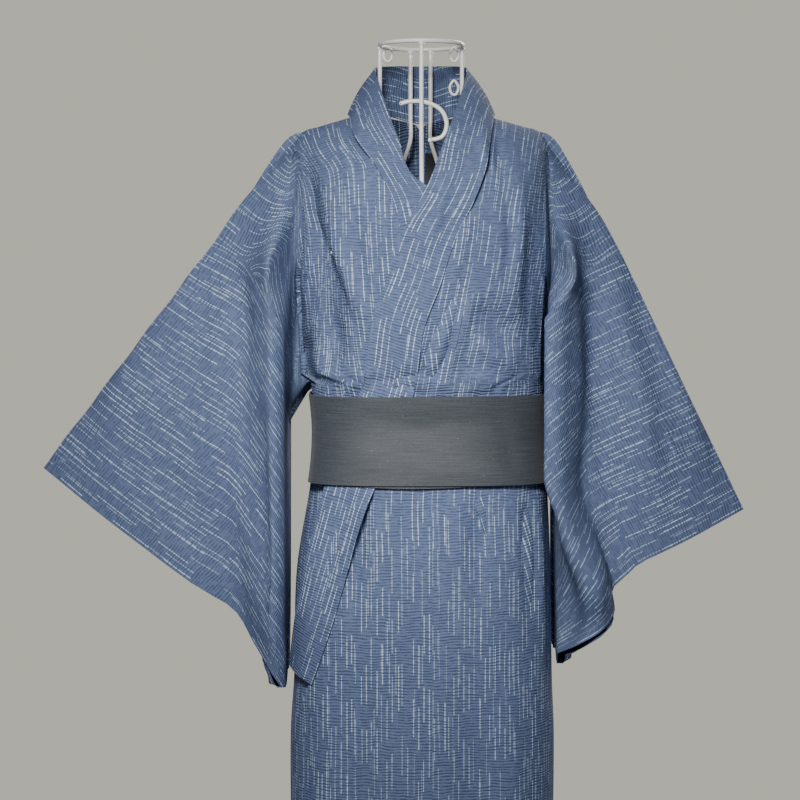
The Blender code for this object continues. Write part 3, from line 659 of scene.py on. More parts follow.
def side_point(y, z, side, out=0.0):
    half = table(SMOOTH_SECTIONS, 1 if side < 0 else 2, z) + out
    depth = table(SMOOTH_SECTIONS, 3 if y < 0 else 4, z) + out
    return np.array((side * half * (1 - min(1.0, abs(y) / depth)**CORNER)**(1 / CORNER), y, z))


def walk(x, z, distance, out):
    """From x on the front of the section, that far round it towards -X or +X."""
    here, gone = across(x, z, out), 0.0
    turn = turn_of(here, out)
    while gone < abs(distance):
        turn += WALK_STEP if distance > 0 else -WALK_STEP
        there = round_section(turn, z, out)
        length = hypot(*(there - here)[:2])
        share = min(1.0, (abs(distance) - gone) / length)
        gone += length
        here = here + (there - here) * share
    return here


print("half width at the belt:", round(round_section(pi / 2, 1.08)[0], 4))

# %% [markdown]
# ## Creases placed one by one
# Cloth that is pulled over a form does not wrinkle at random: troughs run from what holds the cloth to
# what pulls it. Each crease is a short line with a height, below zero for a trough, and a half width. The
# cloth moves along its own normal by a bell curve across the line that fades at both ends. All layers of
# the front read the same lines, so they bend together and never cut through each other.

# %% Crease lines
CREASE_DEPTH = 1.5          # the heights in the lists are scaled by this
CREASE_ENDS = 0.25          # share of its height that a crease keeps at its ends


def crease_height(places, lines):
    """Sum of the crease lines' heights at (across, up) places of any shape."""
    total = np.zeros(places.shape[:-1])
    for height, width, points in lines:
        points = np.asarray(points, float)
        lengths = np.linalg.norm(np.diff(points, axis=0), axis=1)
        starts = np.concatenate([[0], np.cumsum(lengths)])
        near = np.full(total.shape, 1e9)
        share = np.zeros(total.shape)
        for i, length in enumerate(lengths):
            way = (points[i + 1] - points[i]) / length
            apart = places - points[i]
            run = np.clip((apart * way).sum(axis=-1), 0, length)
            gap = np.linalg.norm(apart - run[..., None] * way, axis=-1)
            closer = gap < near
            near = np.where(closer, gap, near)
            share = np.where(closer, (starts[i] + run) / starts[-1], share)
        fade = CREASE_ENDS + (1 - CREASE_ENDS) * np.sin(np.pi * share)**0.8
        total += CREASE_DEPTH * height * np.exp(-(near / width)**2) * fade
    return total


# bodice and skirt from the front: height, half width, (across, up) points
FRONT_LINES = [
    # pulled down from the collar's seams
    (-0.0038, 0.0075, [(-0.079, 1.454), (-0.0746, 1.440), (-0.070, 1.419), (-0.066, 1.395)]),
    (0.0030, 0.0080, [(-0.093, 1.446), (-0.085, 1.405), (-0.078, 1.370)]),
    (-0.0034, 0.0075, [(0.0690, 1.455), (0.0711, 1.428), (0.0760, 1.392)]),
    (0.0022, 0.0070, [(0.0790, 1.443), (0.0810, 1.400), (0.0840, 1.375)]),
    (-0.0034, 0.0070, [(0.0880, 1.441), (0.0890, 1.415), (0.0935, 1.386)]),
    # across the chest on the wearer's right
    (-0.0036, 0.0120, [(-0.1537, 1.343), (-0.1273, 1.308), (-0.0987, 1.262), (-0.0814, 1.222), (-0.0746, 1.176)]),
    (0.0042, 0.0105, [(-0.1388, 1.354), (-0.1044, 1.302), (-0.0814, 1.257), (-0.066, 1.222)]),
    (-0.0075, 0.0160, [(-0.1100, 1.222), (-0.1044, 1.188), (-0.1136, 1.160)]),
    (-0.0165, 0.0300, [(-0.1510, 1.415), (-0.1420, 1.350), (-0.1280, 1.275), (-0.1190, 1.220), (-0.1280, 1.170)]),
    (0.0040, 0.0120, [(-0.1240, 1.385), (-0.0940, 1.300), (-0.0800, 1.240), (-0.0850, 1.190)]),
    (0.0042, 0.0080, [(-0.1388, 1.211), (-0.1273, 1.170), (-0.1180, 1.150)]),
    (0.0028, 0.0110, [(-0.060, 1.330), (-0.056, 1.270), (-0.050, 1.215)]),
    (-0.0025, 0.0075, [(-0.080, 1.350), (-0.072, 1.300), (-0.068, 1.262)]),
    # beside the upper front's seam
    (-0.0026, 0.0080, [(0.047, 1.257), (0.0356, 1.234), (0.0218, 1.194), (0.0046, 1.160), (-0.0092, 1.133)]),
    (0.0042, 0.0100, [(0.0600, 1.252), (0.0450, 1.214), (0.0330, 1.176), (0.024, 1.150)]),
    (-0.0085, 0.0170, [(0.066, 1.240), (0.0906, 1.216), (0.1159, 1.190)]),
    (-0.0034, 0.0150, [(0.036, 1.218), (0.022, 1.182), (0.008, 1.158)]),
    (0.0040, 0.0110, [(0.060, 1.200), (0.086, 1.180), (0.112, 1.162)]),
    (-0.0022, 0.0060, [(0.0964, 1.371), (0.1021, 1.314), (0.0950, 1.257)]),
    (0.0024, 0.0080, [(0.1130, 1.390), (0.1150, 1.310), (0.1080, 1.250)]),
    (-0.0026, 0.0100, [(0.1308, 1.360), (0.1270, 1.245), (0.1273, 1.160)]),
    (-0.0040, 0.0200, [(0.1500, 1.385), (0.1430, 1.300), (0.1380, 1.230), (0.1360, 1.165)]),
    (-0.0024, 0.0070, [(0.030, 1.385), (0.018, 1.340), (0.006, 1.300)]),
    (0.0022, 0.0080, [(0.052, 1.345), (0.044, 1.300), (0.034, 1.262)]),
    # puffs over the belt's top edge and the tucks between them
    (0.0050, 0.0085, [(-0.112, 1.149), (-0.080, 1.146), (-0.050, 1.149)]),
    (0.0058, 0.0090, [(-0.040, 1.148), (-0.010, 1.151), (0.022, 1.147)]),
    (0.0052, 0.0090, [(0.034, 1.147), (0.066, 1.150), (0.100, 1.146)]),
    (-0.0030, 0.0042, [(-0.094, 1.137), (-0.092, 1.156)]),
    (-0.0034, 0.0045, [(-0.064, 1.137), (-0.061, 1.164)]),
    (-0.0030, 0.0040, [(-0.022, 1.137), (-0.020, 1.152)]),
    (-0.0034, 0.0044, [(0.010, 1.137), (0.013, 1.158)]),
    (-0.0034, 0.0044, [(0.050, 1.137), (0.047, 1.160)]),
    (-0.0032, 0.0048, [(0.084, 1.137), (0.086, 1.156)]),
    # below the belt
    (-0.0052, 0.0080, [(-0.0505, 1.023), (-0.0665, 1.001), (-0.0757, 0.927), (-0.0792, 0.890)]),
    (0.0034, 0.0120, [(-0.0872, 1.020), (-0.1044, 0.947), (-0.1180, 0.878)]),
    (0.0030, 0.0070, [(0.1365, 1.018), (0.1422, 0.901), (0.1457, 0.798)]),
    (-0.0026, 0.0080, [(0.1230, 1.018), (0.1265, 0.878)]),
    (-0.0030, 0.0095, [(0.0677, 1.024), (0.0654, 0.947), (0.066, 0.885)]),
    (0.0026, 0.0100, [(0.0400, 1.020), (0.0430, 0.930)]),
    (-0.0022, 0.0080, [(-0.0200, 1.022), (-0.0240, 0.950)]),
    # long soft folds down the skirt
    (-0.0045, 0.0210, [(-0.062, 0.800), (-0.066, 0.450), (-0.070, 0.090)]),
    (0.0038, 0.0200, [(-0.018, 0.760), (-0.016, 0.420), (-0.014, 0.070)]),
    (-0.0048, 0.0220, [(0.058, 0.820), (0.062, 0.460), (0.060, 0.080)]),
    (0.0040, 0.0200, [(0.104, 0.780), (0.108, 0.420), (0.106, 0.080)]),
    (0.0034, 0.0180, [(-0.112, 0.700), (-0.112, 0.400), (-0.108, 0.080)]),
]
BACK_LINES = [
    # from the shoulder blades down to the belt
    (-0.0050, 0.0120, [(-0.120, 1.330), (-0.090, 1.260), (-0.064, 1.180)]),
    (-0.0046, 0.0120, [(0.124, 1.320), (0.094, 1.250), (0.060, 1.176)]),
    (0.0034, 0.0130, [(-0.096, 1.350), (-0.062, 1.270), (-0.040, 1.190)]),
    (0.0036, 0.0130, [(0.100, 1.344), (0.068, 1.262), (0.036, 1.186)]),
    (-0.0034, 0.0090, [(-0.020, 1.440), (-0.028, 1.400), (-0.032, 1.350)]),
    (-0.0034, 0.0090, [(0.024, 1.438), (0.030, 1.398), (0.036, 1.350)]),
    (0.0050, 0.0090, [(-0.110, 1.150), (-0.080, 1.147), (-0.050, 1.150)]),
    (0.0050, 0.0090, [(-0.040, 1.149), (0.000, 1.152), (0.040, 1.148)]),
    (0.0050, 0.0090, [(0.050, 1.149), (0.080, 1.151), (0.108, 1.148)]),
    (-0.0032, 0.0045, [(-0.094, 1.137), (-0.092, 1.158)]),
    (-0.0034, 0.0048, [(-0.060, 1.137), (-0.062, 1.166)]),
    (-0.0034, 0.0048, [(0.058, 1.137), (0.060, 1.166)]),
    (-0.0032, 0.0045, [(0.090, 1.137), (0.092, 1.158)]),
    (-0.0034, 0.0100, [(-0.070, 1.022), (-0.072, 0.930), (-0.074, 0.860)]),
    (-0.0034, 0.0100, [(0.072, 1.022), (0.074, 0.930), (0.072, 0.860)]),
    (0.0030, 0.0120, [(-0.036, 1.022), (-0.036, 0.920)]),
    (0.0030, 0.0120, [(0.040, 1.022), (0.038, 0.920)]),
    (-0.0045, 0.0220, [(-0.080, 0.820), (-0.084, 0.460), (-0.086, 0.080)]),
    (0.0040, 0.0210, [(-0.034, 0.780), (-0.032, 0.420), (-0.034, 0.080)]),
    (-0.0045, 0.0220, [(0.076, 0.820), (0.082, 0.460), (0.080, 0.080)]),
    (0.0040, 0.0210, [(0.030, 0.780), (0.028, 0.420), (0.030, 0.080)]),
]


def layer_creases(grid):
    """Heights for a front or back layer; they fade at the sides, the shoulder and the belt's grip."""
    x, y, z = np.moveaxis(grid, -1, 0)
    places = grid[..., (0, 2)]
    behind = ease((y + 0.035) / 0.07)
    height = crease_height(places, FRONT_LINES) * (1 - behind) + crease_height(places, BACK_LINES) * behind
    beside = 1 - ease((np.abs(x) - 0.138) / 0.014)
    free = ease((z - BELT_TOP) / 0.012) + ease((BELT_FOOT - z) / 0.014)
    return height * beside * np.clip(free, 0, 1) * (1 - ease((z - 1.43) / 0.035))


def creased(grid, facing):
    """The front or back layer, moved along its normals by its creases."""
    return grid + facing * layer_creases(grid)[..., None]


print("crease lines:", len(FRONT_LINES), "front,", len(BACK_LINES), "back")

# %% [markdown]
# ## Sleeves
# A sleeve is an oblong of cloth, folded at the top and sewn below, that turns about the shoulder. Its drop
# makes it hang in upright folds: seen from above, each layer follows a winding line. The height of the
# cloth is kept, so the sleeve keeps its cut and only folds. Rows run from the armhole to the cuff;
# columns start at the bottom seam, go up the back, over the top fold and down the front. The front has
# creases of its own; the back hangs in even, soft upright folds that take up more of the cloth.

# %% Sleeve surfaces
INNER_WALL = 0.1615         # the back layer stays at least this far out from the middle
SPREAD = 0.008              # and this much further away from the armhole
TOP_ROUND = 0.09            # cloth over which the layers part below the top fold
FOOT_ROUND = 0.05           # and close above the bottom seam
LIPS = 0.0009               # half the gap between the layers where they close
RIDGE_T = 0.13              # the forward ridge, down the armhole
BACK_FOLD = 0.012           # height of the back's upright folds
FOLD_APART = 0.050
FOLD_FADE = 5               # columns over which they fade at the top fold and the bottom seam
SLEEVE_ROWS = 74
ARMHOLE_STEPS = 46
UNDER_STEPS = 16
ARMHOLE_T = tuple(np.concatenate([[0.0, 0.004, 0.009, 0.016], np.linspace(0.024, ARMHOLE, ARMHOLE_STEPS - 4)]))
UNDER_T = tuple(ARMHOLE + (SLEEVE_DROP - ARMHOLE) * np.sin(np.linspace(0, pi / 2, UNDER_STEPS + 1))[1:])


def rounded_drop(s, t):
    """t with the cloth below the wrist drawn up to the round corner."""
    turn = CORNER_TURN * max(0.0, s - SLEEVE_OUT + CORNER_ROUND) / CORNER_ROUND
    drop = SLEEVE_DROP - CORNER_ROUND * (1 - (1 - turn**2)**0.5)
    return t if t < WRIST else WRIST + (t - WRIST) * (drop - WRIST) / (SLEEVE_DROP - WRIST)


def sleeve_point(name, s, t, back):
    """s runs from armhole to cuff, t from the top fold to the bottom fold."""
    sleeve = SLEEVES[name]
    run, fall = sleeve["slope"]
    swing = sleeve["swing"] * max(0.0, sin(pi * (t - 0.14) / 0.30)) * ease((s - 0.20) / 0.14)
    closing = sin(min(1.0, (SLEEVE_DROP - t) / FOOT_ROUND) * pi / 2)**0.7
    under_wrist = ease((t - WRIST + 0.01) / 0.04) * (1 - ease((SLEEVE_OUT - s) / 0.05))
    lip = 0.0 if t in (0.0, SLEEVE_DROP) else (LIPS if back else -LIPS)
    t = rounded_drop(s, t)
    flat = sleeve["top"][0] + run * s - fall * t
    z = sleeve["top"][1] - fall * s - run * t
    dense = FOLDS_DENSE[name]
    out, front_y, back_y = (table(dense, column, flat) for column in (1, 2, 3))
    tucked = np.exp(-((flat - sleeve["tuck flat"]) / 0.04)**2)
    if back:
        inner = INNER_WALL + SPREAD * ease(s / 0.035)
        out = inner + 0.004 * np.logaddexp(0, (out - inner) / 0.004) if out < inner + 0.03 else out
    else:
        out += sleeve["tuck"] * tucked * ease((z - 0.98) / 0.06)
    back_y = front_y + (back_y - front_y) * (1 - 0.5 * s / SLEEVE_OUT)
    opened = sin(min(1.0, t / TOP_ROUND) * pi / 2)**0.8
    under_arm = ease((t - ARMHOLE + 0.07) / 0.07) * (1 - ease(s / 0.06))
    middle = front_y + (back_y - front_y) * (0.5 - 0.3 * s / SLEEVE_OUT)
    parted = closing * (1 - under_arm) * (1 - under_wrist)
    layer = back_y if back else front_y
    y = lip + middle + (layer - middle) * parted
    y = lip * (1 - opened) + y * opened
    x = flat * (1 - opened) + out * opened + swing
    return np.array((sleeve["side"] * x, y, z))


def drops_at(name, s):
    """Where the sleeve's columns lie at s, so that one of them follows the forward ridge."""
    run, fall = SLEEVES[name]["slope"]
    here = np.array(ARMHOLE_T[4:] + UNDER_T[:-3])
    moved = min(RIDGE_T + run / fall * s, 0.40)
    last = here[-1]
    outer = here * moved / RIDGE_T
    inner = moved + (here - RIDGE_T) * (last - moved) / (last - RIDGE_T)
    spread = np.where(here <= RIDGE_T, outer, inner)
    return ARMHOLE_T[:4] + tuple(float(t) for t in spread) + UNDER_T[-3:]


def sleeve_grid(name):
    """The mid surface and its cut: u along the sleeve, v down from the top fold, below zero on the back."""
    rows, cuts = [], []
    side = SLEEVES[name]["side"]
    for s in SLEEVE_OUT * np.linspace(0, 1, SLEEVE_ROWS):
        drops = drops_at(name, s)
        back = [sleeve_point(name, s, t, True) for t in drops[1:][::-1]]
        front = [sleeve_point(name, s, t, False) for t in drops[:-1]]
        rows.append(back + front)
        sewn = [rounded_drop(s, t) for t in drops]
        cuts.append([(s, -t) for t in sewn[1:][::-1]] + [(s, t) for t in sewn])
    grid, uv = np.array(rows), np.array(cuts)
    if side < 0:
        grid = np.concatenate([grid[:, :1], grid[:, :0:-1]], axis=1)
        uv = uv[:, ::-1]
    return grid, uv


SLEEVE_LINES = {
    "right": [
        (-0.0080, 0.0200, [(-0.254, 1.287), (-0.275, 1.162), (-0.298, 1.043), (-0.262, 0.950)]),
        (0.0060, 0.0150, [(-0.224, 1.250), (-0.231, 1.088), (-0.206, 0.940)]),
        (-0.0060, 0.0110, [(-0.190, 1.120), (-0.188, 0.984), (-0.176, 0.851)]),
        (0.0055, 0.0210, [(-0.350, 1.170), (-0.375, 1.060)]),
        (-0.0040, 0.0130, [(-0.320, 1.110), (-0.340, 1.010)]),
        (-0.0040, 0.0120, [(-0.238, 1.330), (-0.215, 1.260), (-0.206, 1.180)]),
    ],
    "left": [
        (0.0055, 0.0120, [(0.190, 1.300), (0.186, 1.236), (0.184, 1.147), (0.203, 0.984), (0.211, 0.895)]),
        (-0.0090, 0.0130, [(0.200, 1.300), (0.215, 1.162), (0.226, 1.043), (0.240, 0.950)]),
        (0.0065, 0.0140, [(0.228, 1.266), (0.258, 1.162), (0.274, 1.043), (0.280, 0.980)]),
        (-0.0075, 0.0160, [(0.255, 1.250), (0.288, 1.139), (0.307, 1.013)]),
        (0.0050, 0.0150, [(0.300, 1.180), (0.340, 1.050)]),
        (-0.0040, 0.0120, [(0.345, 1.120), (0.370, 1.020)]),
    ],
}


def sleeve_creases(name, grid):
    """Heights for a sleeve: its lines on the front, upright folds on the back, none at the armhole."""
    found = crease_height(grid[..., (0, 2)], SLEEVE_LINES[name])
    off_seam = ease(np.linspace(0, SLEEVE_OUT, len(grid)) / 0.045)[:, None]
    near_seam = ease((np.abs(grid[..., 0]) - 0.168) / 0.02) * off_seam
    back = ease((grid[..., 1] + 0.012) / 0.02)
    rows, columns = np.indices(grid.shape[:2])
    turned = columns if grid[0, -1, 1] < grid[0, 1, 1] else columns[:, ::-1]
    half = columns.shape[1] / 2
    behind = ease((half - turned) / FOLD_FADE) * ease(turned / FOLD_FADE)
    behind *= ease((1 - rows / len(grid)) / 0.05) * off_seam
    folds = BACK_FOLD * (0.5 - 0.5 * np.cos(2 * pi * grid[..., 0] / FOLD_APART))
    return found * near_seam * (1 - 1.6 * back) + folds * behind


print("sleeve columns:", 2 * (len(ARMHOLE_T) + len(UNDER_T)) - 2)

# %% [markdown]
# ## Body strips
# Each half of the robe is one strip, from the front hem over the shoulder to the back hem. Below the
# armhole a row follows the body's section from the front seam to the side seam. Above it a row runs from
# the neck out to the armhole: it dips into the valley between body and sleeve and rises to the seam.

# %% Body strip surfaces
SKIRT_Z = tuple(np.concatenate([np.linspace(HEM_Z, 0.99, 92), np.linspace(0.997, 1.146, 26)]))
COLUMNS = 92
SEAM_TRIES = 5
SHOULDER_TOP = 1.486        # height of the shoulder's top at the middle, and its fall outward
SHOULDER_FALL = 0.288
SHOULDER_SIDE = 0.162       # how far out the last point on the body lies at the shoulder
CHEST_SIDE = 0.1475         # and on the chest
VALLEY_X = 0.154
# down the seam, front valley y, back valley y
VALLEY_T = spline([
    (0.00, 0.000, 0.000),
    (0.04, -0.022, 0.014),
    (0.08, -0.036, 0.024),
    (0.15, -0.030, 0.034),
    (0.25, -0.008, 0.034),
    (0.33, 0.010, 0.030),
    (0.36, 0.018, 0.027),
], 73)
RIDGE = (0.177, -0.084)
SHARES = (0.0, 0.25, 0.5, 0.72, 0.88, 1.0)
NECKLINE = np.array([(0.0, 0.084), (0.02, 0.062), (0.04, 0.034), (0.06, 0.0), (0.5, 0.0)])


def shoulder_z(x):
    return SHOULDER_TOP - SHOULDER_FALL * abs(x)


def level_of(t):
    """The height of the chest t down from the top fold, below the turn over the shoulder."""
    return CHEST_Z - (t - SHOULDER_ROUND) * (CHEST_Z - BLOUSE_Z) / (ARMHOLE - SHOULDER_ROUND)


def turned(x, t, side, out, back):
    """A point of the chest or back, t down from the top fold and x across."""
    if t >= SHOULDER_ROUND:
        return across(side * x, level_of(t), out, back)
    angle = (1 - t / SHOULDER_ROUND) * pi / 2
    level = across(side * min(x, 0.1497), CHEST_Z, out, back)
    z = CHEST_Z + (shoulder_z(x) + out - CHEST_Z) * sin(angle)
    return np.array((side * x, level[1] * cos(angle), z))


def front_above(x, z, out):
    """The front at a height above the chest, where it starts to turn over the shoulder."""
    angle = asin(min(1.0, max(0.0, (z - CHEST_Z) / (shoulder_z(x) + out - CHEST_Z))))
    level = across(x, CHEST_Z, out)
    return np.array((x, level[1] * cos(angle), z))


def front_edge(front, t, column_of):
    """How far across a front's inner edge lies, t down from the top fold."""
    x = 0.08
    for _ in range(SEAM_TRIES):
        z = turned(x, t, 1, 0, False)[2]
        x = max(table(front, column, z) for column in column_of)
    return x


def layer_out(upper, z, y=-1.0):
    """The upper front lies outside the lower one, and comes in to the form at its side and shoulder."""
    return OVER * ease((1.40 - z) / 0.085) * ease((0.022 - y) / 0.05) if upper else 0.0


def spread_x(inner, outer, z):
    """Distances across that are even round the section, from one edge to the other."""
    turns = [turn_of(across(x, z)) for x in (inner, outer)]
    return [abs(round_section(turns[0] + (turns[1] - turns[0]) * share, z)[0]) for share in SHARES]


def shoulder_row(name, front, t, back, upper):
    """From the neck or the front seam out to the armhole, t down from the top fold."""
    side = SLEEVES[name]["side"]
    inner = table(NECKLINE, 1, t) if back else front_edge(front, t, (1, 2))
    settled = ease(t / 0.1)
    outer = SHOULDER_SIDE - 0.0145 * settled
    even = spread_x(inner, CHEST_SIDE, level_of(max(t, SHOULDER_ROUND)))
    row = []
    for share, round_x in zip(SHARES, even):
        x = (inner + (outer - inner) * share) * (1 - settled) + round_x * settled
        plain = turned(x, t, side, 0, back)
        row.append(turned(x, t, side, 0 if back else layer_out(upper, plain[2], plain[1]), back))
    end = sleeve_point(name, 0, t, back)
    straight = [row[-1] + (end - row[-1]) * share for share in (0.33, 0.67)]
    deep = np.array((side * VALLEY_X, table(VALLEY_T, 2 if back else 1, t), 0.5 * (row[-1][2] + end[2])))
    folded = ease((t - 0.005) / 0.07)
    row[5] = row[5] + (0.5 * (row[4] + straight[0]) - row[5]) * 0.45 * (1 - ease((t - 0.03) / 0.06))
    valley = straight[0] * (1 - folded) + deep * folded
    between = 0.5 * (valley + end)
    if not back:
        forward = np.array((side * RIDGE[0], RIDGE[1], 0.35 * valley[2] + 0.65 * end[2]))
        amount = ease(t / 0.08) * (1 - ease((t - 0.10) / 0.05))
        between = between * (1 - amount) + forward * amount
    between = straight[1] * (1 - folded) + between * folded
    if not back:
        # near its top the cloth spans the hollow between chest and sleeve, which opens further down
        spanned = 1 - ease(t / 0.075)
        for point in (row[4], row[5], valley):
            share = (abs(point[0]) - abs(row[3][0])) / (abs(between[0]) - abs(row[3][0]))
            point += (row[3] + (between - row[3]) * share - point) * spanned
    return spline(row + [valley, between, end], COLUMNS)


def skirt_row(name, front, z, back, upper):
    """Below the armhole a row follows the body's section to the side seam."""
    side = SLEEVES[name]["side"]
    start = across(0.0 if back else side * table(front, 2, z), z, 0, back)
    end = side_point(SIDE_SEAM_Y, z, side)
    turns = [pi if back else abs(turn_of(start)), abs(turn_of(end))]
    row = []
    for turn in np.linspace(turns[0], turns[1], COLUMNS):
        flat = round_section(side * turn, z)
        row.append(round_section(side * turn, z, layer_out(upper and not back, z, flat[1])))
    row[0][0] = start[0]
    return np.array(row)


def strip_half(name, front, back, upper):
    """Rows from the hem up to the shoulder's top, on the front or the back."""
    rows = [skirt_row(name, front, z, back, upper) for z in SKIRT_Z]
    rows += [shoulder_row(name, front, t, back, upper) for t in ARMHOLE_T[::-1]]
    return np.array(rows)


def body_strip(name, front, upper):
    """The strip's mid surface, its cut and its outward normals."""
    side = SLEEVES[name]["side"]
    front_half, back_half = (strip_half(name, front, back, upper) for back in (False, True))
    grid = np.concatenate([front_half, back_half[::-1][1:]])
    # on the front the warp runs along the strip's front edge, on the back along the middle seam
    starts = np.abs(grid[:, :1, 0])
    starts[:len(front_half)] = NECKLINE[0, 1]
    uv = lay_cut(run_lengths(grid, 1) + starts, run_lengths(grid, 0).mean(axis=1, keepdims=True))
    if side < 0:
        grid, uv = grid[:, ::-1], uv[:, ::-1]
    facing = normals(grid)
    outer = COLUMNS - 1 if side > 0 else 0
    for row in range(len(SKIRT_Z) + 1):
        shared = unit(facing[row, outer] + facing[-1 - row, outer])
        facing[row, outer] = shared
        facing[-1 - row, outer] = shared
    return grid, uv, facing


def half_robe(name, front, upper):
    """A body strip and its sleeve, which share their normals along the armhole."""
    body, body_uv, body_facing = body_strip(name, front, upper)
    sleeve, sleeve_uv = sleeve_grid(name)
    sleeve_facing = normals(sleeve, ring=True)
    columns = sleeve.shape[1]
    side = SLEEVES[name]["side"]
    top_row = len(SKIRT_Z) + len(ARMHOLE_T) - 1
    outer = COLUMNS - 1 if side > 0 else 0
    fold = columns // 2
    for k in range(1, len(ARMHOLE_T) - 1):
        for row, column in ((top_row - k, fold + k), (top_row + k, fold - k)):
            column = column if side > 0 else columns - column
            shared = unit(body_facing[row, outer] + sleeve_facing[0, column])
            body_facing[row, outer] = shared
            sleeve_facing[0, column] = shared
    body = creased(body, body_facing)
    sleeve = sleeve + sleeve_facing * sleeve_creases(name, sleeve)[..., None]
    cloth = shell("robe_body_" + name, body, body_uv, COTTON[name], facing=body_facing)
    arm = shell("robe_sleeve_" + name, sleeve, sleeve_uv, COTTON["sleeve_" + name], ring=True, facing=sleeve_facing)
    return cloth, arm, (body, body_facing), (sleeve, sleeve_facing)


body_left, sleeve_left, left_body, left_arm = half_robe("left", SMOOTH_FRONTS["left"], True)
body_right, sleeve_right, right_body, right_arm = half_robe("right", SMOOTH_FRONTS["right"], False)
for piece in (body_left, sleeve_left, body_right, sleeve_right):
    print(piece.name, len(piece.data.polygons), "faces,", round(outer_area(piece), 3), "m2")

# %% [markdown]
# ## Overlap strips and collar
# To each front edge a half-width strip is sewn, so that the fronts can cross. The collar is one long band,
# doubled, that starts below the belt on one front, runs up round the neck and down the other. It is laid
# from few rows, like the solid, and a smooth curve through them fills in the rest.

# %% Overlap strips
BAND_Z = (0.797, 0.86, 0.92, 0.97, 1.02, 1.08, 1.14, 1.21, 1.26, 1.295)
COLLAR_T = (0.155, 0.13)
OVERLAP_COLUMNS = 44
TURNING = 0.004             # how far the strip runs in under the collar
RESTS = 0.0016              # how far out its free edge rests on the lower front
OVERLAP_Z = tuple(np.concatenate([np.linspace(HEM_Z, 0.783, 78), np.linspace(0.797, 1.30, 84)]))


def overlap_strip(name, front, upper, tip_z, seam_u):
    """From its seam to the free edge, or to the collar above the collar's end."""
    side = SLEEVES[name]["side"]
    rows = []
    levels = OVERLAP_Z + tuple(np.linspace(1.305, tip_z + 0.006, 16))
    for z in levels:
        seam = table(front, 2, z)
        under_collar = TURNING if upper else TURNING * ease((z - 1.305) / 0.05)
        edge = table(front, 1, z) - under_collar if z > 0.79 else -EDGE
        out = layer_out(upper, z)
        if z > CHEST_Z:
            rows.append([front_above(side * x, z, out) for x in np.linspace(seam, edge, OVERLAP_COLUMNS)])
            continue
        ends = [turn_of(across(side * x, z, out), out) for x in (seam, edge)]
        resting = upper * ease((0.783 - z) / 0.04)
        row = []
        for share, turn in zip(np.linspace(0, 1, OVERLAP_COLUMNS), np.linspace(*ends, OVERLAP_COLUMNS)):
            row.append(round_section(turn, z, out + (RESTS - out) * resting * ease((share - 0.72) / 0.28)))
        rows.append(row)
    grid = np.array(rows)
    uv = lay_cut(seam_u - run_lengths(grid, 1), np.array(levels)[:, None])
    if side > 0:
        grid, uv = grid[:, ::-1], uv[:, ::-1]
    facing = normals(grid)
    grid = creased(grid, facing)
    piece = shell("robe_overlap_" + name, grid, uv, COTTON["overlap"], facing=facing)
    return piece, (grid, facing)


overlap_left, left_overlap = overlap_strip("left", SMOOTH_FRONTS["left"], True, PANEL_TIP["upper"], 0.42)
overlap_right, _ = overlap_strip("right", SMOOTH_FRONTS["right"], False, PANEL_TIP["lower"], 0.93)
print("overlap strips:", round(outer_area(overlap_left), 3), round(outer_area(overlap_right), 3), "m2")

# %% The collar
BAND = 0.0022               # thickness of the doubled band
BAND_WIDE = 0.058
BAND_SHARES = tuple(np.linspace(0, 1, 25))
BAND_IN = 0.0015            # its stitched edge, in from the seam
UPPER_BAND = 0.0076         # how far out of the body's section each half lies
LOWER_BAND = 0.0012
OVERLAY = 0.004             # how far it laps over the neckline
LAP = 0.0025                # and over the front edge
RAISED = 0.0029             # the lower half's rise above the crossing
ON_TOP = 0.0028             # its height over the shoulder cloth
# down from the shoulder's top, below zero at the back; then the rim's place
RIM_T = (
    (0.105, 0.0120, -0.1150, 1.390),
    (0.080, 0.0265, -0.1040, 1.430),
    (0.060, 0.0350, -0.0900, 1.452),
    (0.040, 0.0430, -0.0700, 1.476),
    (0.020, 0.0505, -0.0420, 1.500),
    (0.000, 0.0545, -0.0080, 1.517),
    (-0.020, 0.0500, 0.0220, 1.524),
    (-0.040, 0.0320, 0.0480, 1.528),
    (-0.060, 0.0000, 0.0600, 1.529),
)
ROWS_BETWEEN = 9


def collar_side(name, front, out, upper):
    """Rows across the band, from seam to rim, from the lower end to the middle of the back."""
    side = SLEEVES[name]["side"]
    rows = []
    starts = [(z, table(front, 1, z)) for z in BAND_Z]
    for t in COLLAR_T:
        x = front_edge(front, t, (1,))
        starts.append((turned(x, t, side, out, False)[2], x))
    for z, x in starts:
        raised = ease((z - 1.305) / 0.05)
        level_out = out if upper else out + RAISED * raised
        band_start = BAND_IN * (1 - raised) - LAP * raised
        row = []
        for share in BAND_SHARES:
            gone = band_start + (BAND_WIDE + BAND_IN - band_start) * share
            if z > CHEST_Z:
                row.append(front_above(side * (x - gone), z, level_out))
                continue
            row.append(walk(side * x, z + 0.016 * share * (1 - ease((z - 1.30) / 0.06)), -side * gone, level_out))
        rows.append(row)
    for signed, x, y, z in RIM_T:
        t, back = abs(signed), signed < 0
        lift = 1.0 if back else ease((0.12 - t) / 0.10)
        edge = table(NECKLINE, 1, t) if back else front_edge(front, t, (1,))
        low = out if upper else out + RAISED
        seam = turned(edge + LAP + (OVERLAY - LAP) * lift, t, side, low * (1 - lift) + ON_TOP * lift, back)
        rim = np.array((side * x, y + (0 if upper else 0.004) * (1 - lift), z))
        seam = seam + unit(rim - seam) * BAND_IN
        bow = unit(np.cross(rim - seam, (side * y, -side * x, 0.0))) * 0.004 * lift
        rows.append([seam + (rim - seam) * share + bow * sin(pi * share) for share in BAND_SHARES])
    return rows


